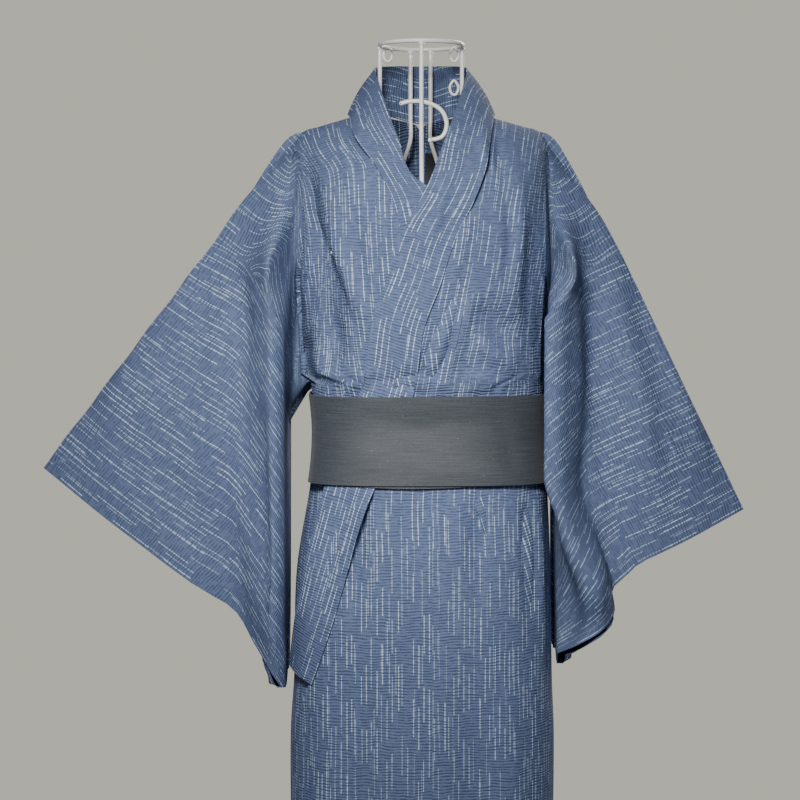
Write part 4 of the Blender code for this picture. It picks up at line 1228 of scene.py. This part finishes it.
def collar():
    """Both halves as one band, from the upper front's end to the lower front's."""
    upper = collar_side("left", SMOOTH_FRONTS["left"], UPPER_BAND, True)
    lower = collar_side("right", SMOOTH_FRONTS["right"], LOWER_BAND, False)
    rows = np.array(upper + lower[::-1][1:])
    count = (len(rows) - 1) * ROWS_BETWEEN + 1
    grid = spline(rows.reshape(len(rows), -1), count).reshape(count, len(BAND_SHARES), 3)
    uv = lay_cut(run_lengths(grid, 1), run_lengths(grid, 0).mean(axis=1, keepdims=True))
    facing = normals(grid)
    grid = creased(grid, facing)
    return shell("robe_collar", grid, uv, COTTON["collar"], thick=BAND, facing=facing), (grid, facing)


collar_piece, collar_band = collar()
print("collar rows:", len(collar_band[0]), "area", round(outer_area(collar_piece), 3), "m2")

# %% [markdown]
# ## The obi
# A man's obi is one stiff strip, wound twice round the waist and tied at the back in a flat clam-shell
# knot: the two ends are folded, crossed and pulled tight, and lie like shells over the band. The band is
# a ring that leans with the body. The edge of the turn below peeps out where the outer turn has slipped
# up a little. The knot's parts are flattened rings of cloth, so their ends show the folded layers.

# %% Obi band, inner turn, knot and ends
BELT = 0.0016               # thickness of a turn
BELT_FRONT = 0.0117         # how far out of the body's section it lies
BELT_BACK = 0.0026
BELT_LEAVES_Y = {1: 0.035, -1: -0.020}
BELT_COLUMNS = 192
# height, half width, (across, up) points
BELT_LINES = [
    (0.0011, 0.0200, [(-0.120, 1.070), (-0.040, 1.060), (0.060, 1.066)]),
    (-0.0009, 0.0140, [(-0.070, 1.104), (0.010, 1.100), (0.100, 1.108)]),
    (-0.0010, 0.0090, [(0.084, 1.122), (0.100, 1.080), (0.108, 1.044)]),
    (0.0008, 0.0120, [(-0.020, 1.045), (0.040, 1.048), (0.090, 1.043)]),
]


def belt_out(turn, z):
    y = round_section(turn, z)[1]
    leaves = BELT_LEAVES_Y[1 if turn > 0 else -1]
    return BELT_BACK + (BELT_FRONT - BELT_BACK) * ease((leaves - y) / 0.05)


def belt_ring(name, low_of, high_of, inside, rows, thick):
    """A turn of the belt between two edges whose heights may change round the body."""
    turns = np.linspace(-pi, pi, BELT_COLUMNS + 1)[:-1]
    grid = np.array([[round_section(turn, z, belt_out(turn, z) - inside)
                      for turn, z in zip(turns, low_of(turns) + (high_of(turns) - low_of(turns)) * share)]
                     for share in np.linspace(0, 1, rows)])
    closed = ring_closed(grid)
    u = run_lengths(closed, 1).mean(axis=0, keepdims=True) + np.zeros(closed.shape[:2])
    uv = lay_cut(u, closed[..., 2] - BELT_FOOT)
    facing = normals(grid, ring=True)
    front = ease((0.02 - grid[..., 1]) / 0.04)
    grid = grid + facing * (crease_height(grid[..., (0, 2)], BELT_LINES) * front)[..., None]
    return shell(name, grid, uv, OBI, thick=thick, ring=True, facing=facing)


obi_band = belt_ring("obi_band_cloth",
                     lambda a: BELT_FOOT + 0.0012 * np.cos(a) * (np.cos(a) > 0),
                     lambda a: BELT_TOP + 0.0006 * np.sin(3 * a), 0.0, 22, BELT)
inner_turn = belt_ring("obi_inner_turn",
                       lambda a: BELT_FOOT + 0.0020 - 0.0042 * np.exp(-((a + 0.1) / 0.55)**2),
                       lambda a: BELT_FOOT + 0.016 + 0 * a, 0.0021, 5, 0.0011)
print("obi band:", round(outer_area(obi_band), 4), "m2")

KNOT_THICK = 0.010
KNOT_BELLY = 0.002          # how much the knot's outer layer bulges
TAIL_THICK = 0.004
PLY = 0.0013
# feet, then tops, as (across, up)
KNOT = ((-0.047, 1.022), (0.045, 1.034), (-0.043, 1.138), (0.049, 1.146))
TAILS = {
    "left": ((0.0520, 1.060), (0.112, 1.094), (0.0540, 1.122), (0.092, 1.150)),
    "right": ((-0.102, 1.100), (-0.0520, 1.056), (-0.082, 1.154), (-0.0500, 1.116)),
}


def flattened_ring(name, corners, thick, gap, belly):
    """A folded length of belt: a ring of cloth pressed flat on the back, open at its two ends."""
    foot_a, foot_b, top_a, top_b = np.array(corners)
    half = (thick - PLY) / 2
    base = BELT_BACK + BELT / 2 + gap + thick / 2
    rows = []
    for up in np.linspace(0, 1, 28):
        a, b = foot_a + (top_a - foot_a) * up, foot_b + (top_b - foot_b) * up
        section = []
        for share, out in flat_loop(half, np.linalg.norm(b - a), 40, 6):
            x, z = a + (b - a) * share
            plump = belly * sin(pi * min(1, max(0, share))) * (0.6 + 0.4 * sin(pi * up)) if out > 0 else 0.0
            place = across(x, min(max(z, BELT_FOOT), BELT_TOP), base + out + plump, True)
            section.append((place[0], place[1], z))
        rows.append(section)
    grid = np.array(rows)
    closed = ring_closed(grid)
    return shell(name, grid, lay_cut(run_lengths(closed, 0), run_lengths(closed, 1)), OBI, thick=PLY, ring=True)


def flat_loop(half, wide, flat_steps, turn_steps):
    """(share across, distance out) round a pressed loop, starting on its inner side."""
    round_share = half / wide
    shares = np.linspace(round_share, 1 - round_share, flat_steps)
    bends = np.linspace(0, pi, turn_steps + 2)[1:-1]
    loop = [(share, -half) for share in np.linspace(1 - round_share, round_share, flat_steps)]
    loop += [(round_share * (1 - sin(a)), -half * cos(a)) for a in bends]
    loop += [(share, half) for share in shares]
    loop += [(1 - round_share * (1 - sin(a)), half * cos(a)) for a in bends]
    return loop


obi_knot = flattened_ring("obi_knot_cloth", KNOT, KNOT_THICK - KNOT_BELLY, 4 * FIT, KNOT_BELLY)
obi_tails = {name: flattened_ring("obi_end_" + name, corners, TAIL_THICK, 1.5 * FIT, 0.0)
             for name, corners in TAILS.items()}
print("knot and ends:", round(outer_area(obi_knot), 4), [round(outer_area(p), 4) for p in obi_tails.values()])

# %% [markdown]
# ## The label inside the back
# A short loop of black ribbon is sewn under the collar on the inside of the back. It is bare, and its free
# end curls a little away from the cloth.

# %% Label
LABEL_T = (0.125, 0.085)    # its free end and its sewn end, down the back from the top fold
LABEL_X = (0.030, 0.006)
LABEL_IN = 0.0024           # inside the cloth
LABEL_CURL = 0.0022


def back_label():
    rows, cuts = [], []
    wide, long = LABEL_X[0] - LABEL_X[1], LABEL_T[0] - LABEL_T[1]
    for share in np.linspace(0, 1, 14):
        t = LABEL_T[0] + (LABEL_T[1] - LABEL_T[0]) * share
        out = -LABEL_IN - LABEL_CURL * (1 - share)**2
        rows.append([turned(x, t, 1, out, True) for x in np.linspace(*LABEL_X, 12)])
        cuts.append([(x, share * long) for x in np.linspace(wide, 0.0, 12)])
    grid = np.array(rows)
    grid[..., 1] += np.minimum(layer_creases(grid), 0)
    return shell("neck_label_ribbon", grid, np.array(cuts), LABEL, thick=0.0005)


label_piece = back_label()
print("label:", round(outer_area(label_piece) * 1e6), "mm2")

# %% [markdown]
# ## The wire form
# The form is bent from steel wire: three hoops for hip, waist and chest, uprights welded inside them, a
# wire under each shoulder, a ring at the neck, and a scroll and small leaves for ornament. It stands on a
# pole and a round foot. Each wire keeps the solid's route, with fourteen sides in place of six, and rounded
# ends. A spline through the same few points keeps it fair, as if bent over a former.

# %% Wires
WIRE = 0.0026               # radius
SIDES = 14
NECK_RING_Z = 1.548
NECK_RING = 0.049
RING_IN = 0.0045            # the hoops' middle line, inside the cloth
UPRIGHT_IN = RING_IN + 2 * WIRE
UPRIGHT_FOOT = 0.860
NECK_START = 1.44           # where the uprights have come in to the neck
SHOULDER_IN = 0.0548        # where the shoulder wires start, out from the middle
SHOULDER_UNDER = 0.0046     # and how far they lie under the cloth
GIVE = 1.35                 # a hoop gives way by this much of a trough's depth
NECK_FOOT = NECK_RING_Z - WIRE - 0.0002
RINGS = {"chest_ring": 1.30, "waist_ring": 1.08, "hip_ring": 0.88}
UPRIGHTS = {"front_wire": 0.0, "left_wire": pi / 2, "back_wire_left": pi - 0.25, "back_wire_right": pi + 0.25,
            "right_wire": -pi / 2}
HUB_RADIUS = 0.022
HUB_Z = (0.858, 0.878)
SPOKE_Z = 0.868
SCROLL = ((-0.026, 1.4745), (-0.013, 1.4775), (0.005, 1.4765), (0.0225, 1.468), (0.0297, 1.452), (0.025, 1.437),
          (0.0107, 1.432))
LEAF_WIRE = 0.0016
LEAF = (0.0050, 0.0085)
LEAVES = (("leaf_right", -1, 1.537), ("leaf_left_upper", 1, 1.537), ("leaf_left_lower", 1, 1.4976))


def wire(name, path, radius=WIRE, closed=False):
    """A round wire along a path, its section carried along without twisting, its ends rounded."""
    path = np.asarray(path, float)
    if closed:
        along = unit(np.roll(path, -1, axis=0) - np.roll(path, 1, axis=0))
        radii = np.full(len(path), radius)
    else:
        along = unit(np.gradient(path, axis=0))
        cap, cap_in = np.array([0.45, 0.80, 1.0]), (0.02, 0.35, 1.1)
        near, far = along[0] * radius, along[-1] * radius
        path = np.vstack([*(path[0] + near * share for share in cap_in), path[1:-1],
                          *(path[-1] - far * share for share in cap_in[::-1])])
        along = np.vstack([along[:1]] * 3 + [along[1:-1]] + [along[-1:]] * 3)
        radii = radius * np.concatenate([cap, np.ones(len(path) - 6), cap[::-1]])
    up = np.array((0.0, 0.0, 1.0)) if abs(along[0][2]) < 0.9 else np.array((0.0, 1.0, 0.0))
    rings = []
    angles = np.arange(SIDES) * 2 * pi / SIDES
    for place, direction, reach in zip(path, along, radii):
        up = unit(up - direction * np.dot(up, direction))
        side = np.cross(direction, up)
        rings.append(place + reach * (np.cos(angles)[:, None] * up + np.sin(angles)[:, None] * side))
    count = len(rings)
    faces = []
    for i in range(count if closed else count - 1):
        low, high = i * SIDES, (i + 1) % count * SIDES
        faces += [(low + k, low + (k + 1) % SIDES, high + (k + 1) % SIDES, high + k) for k in range(SIDES)]
    if not closed:
        faces.append(tuple(reversed(range(SIDES))))
        faces.append(tuple((count - 1) * SIDES + k for k in range(SIDES)))
    return mesh_piece(name, np.concatenate(rings), faces, PAINT, smooth_angle=1.3)


def ring_path(z, count=160):
    """A hoop inside the cloth: where a trough of the cloth presses on it, it gives way."""
    path = np.array([round_section(turn, z, -RING_IN) for turn in np.linspace(-pi, pi, count, endpoint=False)])
    out = unit(np.cross(np.roll(path, -1, axis=0) - np.roll(path, 1, axis=0), (0.0, 0.0, 1.0)))
    return path + out * np.minimum(GIVE * layer_creases(path), 0)[:, None]


def upright_path(turn):
    """Up inside the hoops, in over the chest to the neck, and straight up to the neck ring."""
    heights = (UPRIGHT_FOOT, 0.95, 1.02, 1.08, 1.14, 1.22, 1.30, 1.345)
    points = [round_section(turn, z, -UPRIGHT_IN) for z in heights]
    neck = np.array((NECK_RING * sin(turn), -NECK_RING * cos(turn), NECK_START))
    level = points[-1]
    points.append(level * 0.72 + neck * 0.28 + np.array((0, 0, 0.012)))
    points.append(level * 0.32 + neck * 0.68 + np.array((0, 0, 0.006)))
    points += [neck, neck + (0, 0, 0.03), neck + (0, 0, NECK_FOOT - NECK_START)]
    return spline(points, 97)


def shoulder_path(side):
    points = [(x, 0, shoulder_z(x) - SHOULDER_UNDER) for x in (SHOULDER_IN, 0.085, 0.115, 0.138)]
    points += [(0.147, 0, 1.425), (0.1475, 0, 1.385), (0.1462, 0, 1.342)]
    return spline([(side * x, y, z) for x, y, z in points], 61)


def spoke_path(turn):
    end = round_section(turn, SPOKE_Z, -UPRIGHT_IN)
    end[2] = SPOKE_Z
    out = unit(end * (1, 1, 0))
    start = out * (HUB_RADIUS + FIT)
    start[2] = SPOKE_Z
    return np.array([start + (end - out * (WIRE + FIT) - start) * share for share in np.linspace(0, 1, 9)])


def loop_path(centre, across_half, up_half, count=40):
    """A leaf: an upright loop that comes to a soft point at its top."""
    points = []
    for a in np.arange(count) * 2 * pi / count:
        narrow = 1 - 0.35 * ease((sin(a) - 0.2) / 0.8)
        points.append(np.array(centre) + (across_half * cos(a) * narrow, 0, up_half * sin(a)))
    return points


wires = {name: wire("form_" + name, ring_path(z), closed=True) for name, z in RINGS.items()}
turns = np.arange(96) * 2 * pi / 96
wires["neck_ring"] = wire("form_neck_ring", [(NECK_RING * cos(a), NECK_RING * sin(a), NECK_RING_Z) for a in turns],
                          closed=True)
for name, turn in UPRIGHTS.items():
    wires[name] = wire("form_" + name, upright_path(turn))
    spoke_name = name.replace("wire", "spoke")
    wires[spoke_name] = wire("form_" + spoke_name, spoke_path(turn))
for name, side in (("left", 1), ("right", -1)):
    wires["shoulder_wire_" + name] = wire("form_shoulder_wire_" + name, shoulder_path(side))
wires["scroll"] = wire("form_scroll", spline([(x, -NECK_RING + 2 * WIRE + FIT, z) for x, z in SCROLL], 61))
for name, side, z in LEAVES:
    centre = (side * (NECK_RING - WIRE - FIT - LEAF_WIRE - LEAF[0]), 0, z)
    wires[name] = wire("form_" + name, loop_path(centre, *LEAF), LEAF_WIRE, closed=True)
print("wires:", len(wires))

# %% [markdown]
# ## Pole, hub and foot
# These are turned pieces: a profile swept round the pole's axis. The foot is a low disc with a rounded rim
# that rises a little to its middle. The pole stands on it and ends under the hub, which carries the spokes.

# %% Turned pieces
POLE = 0.012
FOOT_RADIUS = 0.19
FOOT_THICK = 0.009
FOOT_EDGE = 0.0028          # radius of its rim
BEVEL = 0.001               # at the pole's ends


def turned_piece(name, profile, sides=64):
    """A profile of (radius, height) swept round Z; where the radius is 0 it closes in a point."""
    angles = np.arange(sides) * 2 * pi / sides
    points, rows = [], []
    for radius, z in profile:
        if radius == 0:
            rows.append([len(points)] * sides)
            points.append((0, 0, z))
        else:
            rows.append(list(range(len(points), len(points) + sides)))
            points += [(radius * cos(a), radius * sin(a), z) for a in angles]
    faces = []
    for low, high in zip(rows, rows[1:]):
        for k in range(sides):
            face = (low[k], low[(k + 1) % sides], high[(k + 1) % sides], high[k])
            faces.append(tuple(dict.fromkeys(face)))        # three corners where the profile ends in a point
    return mesh_piece(name, points, faces, PAINT, smooth_angle=0.7)


def rounded(radius, z, edge, steps=5):
    """A quarter round at a rim, from the side wall in to the flat above."""
    return [(radius - edge + edge * cos(a), z - edge + edge * sin(a)) for a in np.linspace(0, pi / 2, steps)]


foot_profile = [(0, 0.0)]
foot_profile += [(FOOT_RADIUS - FOOT_EDGE + FOOT_EDGE * sin(a), FOOT_EDGE - FOOT_EDGE * cos(a))
                 for a in np.linspace(0, pi / 2, 6)]
foot_profile += rounded(FOOT_RADIUS, FOOT_THICK - 0.0012, FOOT_EDGE)
foot_profile += [(0.150, FOOT_THICK - 0.0008), (0.060, FOOT_THICK - 0.0002), (0.022, FOOT_THICK), (0, FOOT_THICK)]
form_foot = turned_piece("form_foot", foot_profile, 128)
pole_foot = FOOT_THICK + FIT
pole_top = HUB_Z[0] - FIT
pole_profile = [(0, pole_foot), (POLE - BEVEL, pole_foot), (POLE, pole_foot + BEVEL)]
pole_profile += [(POLE, z) for z in np.linspace(0.05, HUB_Z[0] - 0.03, 12)]
pole_profile += [(POLE, pole_top - BEVEL), (POLE - BEVEL, pole_top), (0, pole_top)]
form_pole = turned_piece("form_pole", pole_profile, 40)
hub_profile = [(0, HUB_Z[0]), (HUB_RADIUS - 2 * BEVEL, HUB_Z[0]), (HUB_RADIUS, HUB_Z[0] + 2 * BEVEL),
               (HUB_RADIUS, HUB_Z[1] - 2 * BEVEL), (HUB_RADIUS - 2 * BEVEL, HUB_Z[1]), (0, HUB_Z[1])]
form_hub = turned_piece("form_hub", hub_profile, 48)
print("turned:", form_foot.name, form_pole.name, form_hub.name)

# %% [markdown]
# ## Small repeated things
# Geometry Nodes places what repeats. The first tree runs a hand stitch along a path: the path is cut into
# even steps, each step gets a small capsule turned along it, and a random turn and size keep it from
# looking like a machine's. The second puts a lumpy bead of weld on each given point. Both trees end in
# Realize Instances and Set Material, and are turned into plain meshes at once, so that nothing
# downstream depends on a live modifier.

# %% Node trees for stitches and welds
def node_group(name, numbers):
    """An empty tree with a geometry input and output, the given number inputs and one for the material."""
    tree = bpy.data.node_groups.new(name, "GeometryNodeTree")
    tree.interface.new_socket("Geometry", in_out="INPUT", socket_type="NodeSocketGeometry")
    tree.interface.new_socket("Geometry", in_out="OUTPUT", socket_type="NodeSocketGeometry")
    for label, value in numbers.items():
        kind = "NodeSocketInt" if isinstance(value, int) else "NodeSocketFloat"
        socket = tree.interface.new_socket(label, in_out="INPUT", socket_type=kind)
        socket.default_value = value
    tree.interface.new_socket("Finish", in_out="INPUT", socket_type="NodeSocketMaterial")
    return tree, tree.nodes.new("NodeGroupInput"), tree.nodes.new("NodeGroupOutput")


def linked(tree, kind, inputs, **settings):
    """A node with its settings and inputs; an input is a value or another node's output."""
    made = tree.nodes.new(kind)
    for key, value in settings.items():
        setattr(made, key, value)
    for key, value in inputs.items():
        if hasattr(value, "links"):
            tree.links.new(value, made.inputs[key])
        else:
            made.inputs[key].default_value = value
    return made


def end_of_tree(tree, instances, source, finish):
    real = linked(tree, "GeometryNodeRealizeInstances", {"Geometry": instances})
    painted = linked(tree, "GeometryNodeSetMaterial",
                     {"Geometry": real.outputs[0], "Material": source.outputs["Finish"]})
    tree.links.new(painted.outputs[0], finish.inputs[0])


def random_scale(tree, low, high, seed):
    return linked(tree, "FunctionNodeRandomValue", {2: low, 3: high, "Seed": seed}, data_type="FLOAT").outputs[1]


def stitch_tree():
    numbers = {"Pitch": 0.006, "Length": 0.0026, "Width": 0.0007, "Wander": 0.12, "Seed": 7}
    tree, source, finish = node_group("hand_stitches", numbers)
    curve = linked(tree, "GeometryNodeMeshToCurve", {"Mesh": source.outputs["Geometry"]})
    steps = linked(tree, "GeometryNodeResampleCurve", {"Curve": curve.outputs[0], "Length": source.outputs["Pitch"]},
                   mode="LENGTH")
    tangent = linked(tree, "GeometryNodeInputTangent", {})
    turn = linked(tree, "FunctionNodeAlignRotationToVector", {"Vector": tangent.outputs[0]}, axis="X")
    wander = linked(tree, "FunctionNodeRandomValue", {"Seed": source.outputs["Seed"]}, data_type="FLOAT_VECTOR")
    spread = linked(tree, "ShaderNodeVectorMath", {0: wander.outputs[0], 1: (0.5, 0.5, 0.5)}, operation="SUBTRACT")
    spread = linked(tree, "ShaderNodeVectorMath", {0: spread.outputs[0], "Scale": source.outputs["Wander"]},
                    operation="SCALE")
    turned_by = linked(tree, "FunctionNodeRotateRotation",
                       {"Rotation": turn.outputs[0], "Rotate By": spread.outputs[0]}, rotation_space="LOCAL")
    bead = linked(tree, "GeometryNodeMeshUVSphere", {"Segments": 8, "Rings": 5, "Radius": 0.5})
    size = linked(tree, "ShaderNodeCombineXYZ", {0: source.outputs["Length"], 1: source.outputs["Width"],
                                                 2: source.outputs["Width"]})
    vary = random_scale(tree, 0.85, 1.15, source.outputs["Seed"])
    sized = linked(tree, "ShaderNodeVectorMath", {0: size.outputs[0], "Scale": vary}, operation="SCALE")
    placed = linked(tree, "GeometryNodeInstanceOnPoints",
                    {"Points": steps.outputs[0], "Instance": bead.outputs[0], "Rotation": turned_by.outputs[0],
                     "Scale": sized.outputs[0]})
    end_of_tree(tree, placed.outputs[0], source, finish)
    return tree


def weld_tree():
    tree, source, finish = node_group("weld_beads", {"Radius": 0.0034, "Lumps": 0.0009, "Seed": 3})
    points = linked(tree, "GeometryNodeMeshToPoints", {"Mesh": source.outputs["Geometry"]})
    bead = linked(tree, "GeometryNodeMeshIcoSphere", {"Radius": source.outputs["Radius"], "Subdivisions": 4})
    vary = random_scale(tree, 0.86, 1.12, source.outputs["Seed"])
    placed = linked(tree, "GeometryNodeInstanceOnPoints",
                    {"Points": points.outputs[0], "Instance": bead.outputs[0], "Scale": vary})
    real = linked(tree, "GeometryNodeRealizeInstances", {"Geometry": placed.outputs[0]})
    lumps = linked(tree, "ShaderNodeTexNoise", {"Scale": 190.0, "Detail": 1.0})
    place = linked(tree, "GeometryNodeInputPosition", {})
    tree.links.new(place.outputs[0], lumps.inputs["Vector"])
    middled = linked(tree, "ShaderNodeMath", {0: lumps.outputs[0], 1: 0.5}, operation="SUBTRACT")
    height = linked(tree, "ShaderNodeMath", {0: middled.outputs[0], 1: source.outputs["Lumps"]}, operation="MULTIPLY")
    facing = linked(tree, "GeometryNodeInputNormal", {})
    push = linked(tree, "ShaderNodeVectorMath", {0: facing.outputs[0], "Scale": height.outputs[0]}, operation="SCALE")
    lumpy = linked(tree, "GeometryNodeSetPosition", {"Geometry": real.outputs[0], "Offset": push.outputs[0]})
    smooth = linked(tree, "GeometryNodeSetShadeSmooth", {"Geometry": lumpy.outputs[0]})
    end_of_tree(tree, smooth.outputs[0], source, finish)
    return tree


def grown(name, points, edges, tree, values, finish):
    """A mesh of points and edges, put through a tree with these inputs, as a plain mesh piece."""
    mesh = bpy.data.meshes.new(name + "_path")
    mesh.from_pydata(np.asarray(points, float).tolist(), edges, [])
    seedling = placed(name + "_path", mesh)
    growth = seedling.modifiers.new("growth", "NODES")
    growth.node_group = tree
    identifiers = {item.name: item.identifier for item in tree.interface.items_tree if item.in_out == "INPUT"}
    for label, value in {**values, "Finish": finish}.items():
        growth[identifiers[label]] = value
    seedling.update_tag()
    bpy.context.view_layer.update()
    graph = bpy.context.evaluated_depsgraph_get()
    real = bpy.data.meshes.new_from_object(seedling.evaluated_get(graph))
    piece = placed(name, real)
    seedling.modifiers.clear()
    bpy.data.objects.remove(seedling)
    real.materials.clear()
    real.materials.append(finish)
    return piece


STITCHES = stitch_tree()
WELDS = weld_tree()
print("trees:", STITCHES.name, len(STITCHES.nodes), WELDS.name, len(WELDS.nodes))

# %% [markdown]
# ## Where the stitches run
# Hems and cuffs are turned in and blind-stitched, so only tiny pricks show on the right side, 12 to
# 14 mm in from the edge. The collar's foot is sewn with a closer stitch beside the seam. Each path is
# read from the cloth's own grid, lifted by half the cloth, so that the thread lies on the crepe.

# %% Stitch paths
CUFF_IN = 0.012
HEM_IN = 0.014
HEM_PITCH = 0.009


def grid_path(surface, row=None, column=None, first=0, last=None, lift=CLOTH / 2):
    """A row or a column of a grid, lifted off the cloth."""
    grid, facing = surface
    if row is not None:
        return (grid[row] + facing[row] * lift)[first:last]
    return (grid[:, column] + facing[:, column] * lift)[first:last]


def stitches(name, paths, **values):
    points, edges = [], []
    for path in paths:
        start = len(points)
        points += list(path)
        edges += [(start + i, start + i + 1) for i in range(len(path) - 1)]
    return grown(name, points, edges, STITCHES, {"Pitch": 0.006, "Length": 0.0024, "Width": 0.0006, **values},
                 BLUE_THREAD)


def cuff_row(arm):
    """The sleeve's row beside the cuff, from the bottom seam round the top fold and back."""
    return grid_path(arm, row=SLEEVE_ROWS - 1 - round(CUFF_IN / (SLEEVE_OUT / (SLEEVE_ROWS - 1))))


hem_row = int(np.searchsorted(SKIRT_Z, HEM_Z + HEM_IN))
stitch_pieces = {
    "sleeve_left": stitches("stitches_sleeve_left", [cuff_row(left_arm)], Seed=3),
    "sleeve_right": stitches("stitches_sleeve_right", [cuff_row(right_arm)], Seed=4),
    "body_left": stitches("stitches_hem_left",
                          [grid_path(left_body, row=hem_row), grid_path(left_body, row=-hem_row - 1)],
                          Pitch=HEM_PITCH, Seed=5),
    "body_right": stitches("stitches_hem_right", [grid_path(right_body, row=-hem_row - 1)],
                           Pitch=HEM_PITCH, Seed=6),
    "overlap_left": stitches("stitches_overlap",
                             [grid_path(left_overlap, column=2, first=2, last=76), grid_path(left_overlap, row=2)],
                             Pitch=HEM_PITCH, Seed=8),
    "collar": stitches("stitches_collar", [grid_path(collar_band, column=1, lift=BAND / 2)], Pitch=0.005,
                       Length=0.002, Seed=9),
}
for piece in stitch_pieces.values():
    print(piece.name, len(piece.data.polygons), "faces")

# %% Welds where the wires meet
def weld_points():
    """Hoops to uprights, uprights to neck ring and spokes, spokes to hub, shoulder wires, scroll."""
    places = [round_section(turn, z, -(RING_IN + WIRE)) for z in RINGS.values() for turn in UPRIGHTS.values()]
    places += [np.array((NECK_RING * sin(turn), -NECK_RING * cos(turn), NECK_FOOT - 0.001))
               for turn in UPRIGHTS.values()]
    for turn in UPRIGHTS.values():
        end = round_section(turn, SPOKE_Z, -UPRIGHT_IN)
        out = unit(end * (1, 1, 0))
        places.append(np.array((end[0], end[1], SPOKE_Z)) - out * (WIRE * 0.8))
        places.append(out * (HUB_RADIUS + 0.0006) + np.array((0, 0, SPOKE_Z)))
    for side in (1, -1):
        start = np.array((side * SHOULDER_IN, 0, shoulder_z(SHOULDER_IN) - SHOULDER_UNDER))
        places.append(start - np.array((side * 0.003, 0, 0)))
    places.append(np.array((SCROLL[-1][0], -NECK_RING + WIRE, SCROLL[-1][1])))
    return places


weld_piece = grown("form_welds", weld_points(), [], WELDS, {"Radius": 0.0033, "Lumps": 0.0012, "Seed": 3}, PAINT)
print("welds:", len(weld_points()), "faces", len(weld_piece.data.polygons))

# %% [markdown]
# ## What each piece stands for
# Tables list the solids that each piece stands for, which are hidden, and the material slot of the part that
# it goes with; every piece is parented to the root body. For cloth they give its flat size. A sleeve is cut as
# an oblong, twice its drop by its reach, less two round corners. The body strips' size is less than their cut
# from a bolt 36 cm wide: it is their width on the skirt, without the turnings at the side and the cloth in the
# fold at the armhole. The belt's is for the one turn that shows.

# %% Which solids each piece stands for
REPLACES = {
    body_left: ("body_left",),
    body_right: ("body_right",),
    sleeve_left: ("sleeve_left",),
    sleeve_right: ("sleeve_right",),
    overlap_left: ("okumi_left",),
    overlap_right: ("okumi_right",),
    collar_piece: ("collar",),
    obi_band: ("obi_band",),
    obi_knot: ("obi_knot",),
    obi_tails["left"]: ("obi_tail_left",),
    obi_tails["right"]: ("obi_tail_right",),
    label_piece: ("neck_label",),
    form_foot: ("foot",),
    form_pole: ("pole",),
    form_hub: ("hub",),
}
REPLACES.update({piece: (name,) for name, piece in wires.items()})
SLOTS = {
    "slate_cotton": [body_left, body_right, sleeve_left, sleeve_right, overlap_left, overlap_right, collar_piece,
                     *stitch_pieces.values()],
    "charcoal_cotton": [obi_band, inner_turn, obi_knot, *obi_tails.values()],
    "black_label": [label_piece],
    "white_paint": [form_foot, form_pole, form_hub, weld_piece, *wires.values()],
}
for piece, nodes in REPLACES.items():
    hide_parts(*nodes)
for slot, pieces in SLOTS.items():
    for piece in pieces:
        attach(piece, "root")
print("solids stood for:", sum(len(nodes) for nodes in REPLACES.values()))

# %% The cut of each sheet
# an oblong less two round corners, on the front layer and on the back
SLEEVE_CUT = 2 * (SLEEVE_OUT * SLEEVE_DROP - (1 - pi / 4) * CORNER_ROUND**2)
# flat size, how it is held, what it rests on, the pieces sewn to it, flat area where not an oblong
SHEETS = [
    (body_left, (0.25, 2.72), "draped", [wires["shoulder_wire_left"], wires["chest_ring"]],
     [stitch_pieces["body_left"]], None),
    (body_right, (0.25, 2.72), "draped", [wires["shoulder_wire_right"], wires["chest_ring"]],
     [stitch_pieces["body_right"]], None),
    (sleeve_left, (SLEEVE_OUT, 2 * SLEEVE_DROP), "hung", [body_left], [stitch_pieces["sleeve_left"]], SLEEVE_CUT),
    (sleeve_right, (SLEEVE_OUT, 2 * SLEEVE_DROP), "hung", [body_right], [stitch_pieces["sleeve_right"]], SLEEVE_CUT),
    (overlap_left, (0.165, 1.30), "draped", [body_left], [stitch_pieces["overlap_left"]], None),
    (overlap_right, (0.165, 1.30), "draped", [body_right], [], None),
    (collar_piece, (BAND_WIDE, 1.74), "folded", [body_left, body_right], [stitch_pieces["collar"]], None),
    (obi_band, (BELT_TOP - BELT_FOOT, 0.83), "stretched", [collar_piece, body_left, body_right], [inner_turn], None),
    (obi_knot, (0.20, 0.12), "folded", [obi_band], [], None),
    (obi_tails["left"], (0.105, 0.066), "folded", [obi_band], [], None),
    (obi_tails["right"], (0.105, 0.066), "folded", [obi_band], [], None),
    (label_piece, (0.024, 0.055), "hung", [body_left], [], None),
]
for piece, flat, held, rests, sewn, area in SHEETS:
    print(piece.name, "cut", [round(v, 3) for v in flat], "shows", round(outer_area(piece), 4), "m2")
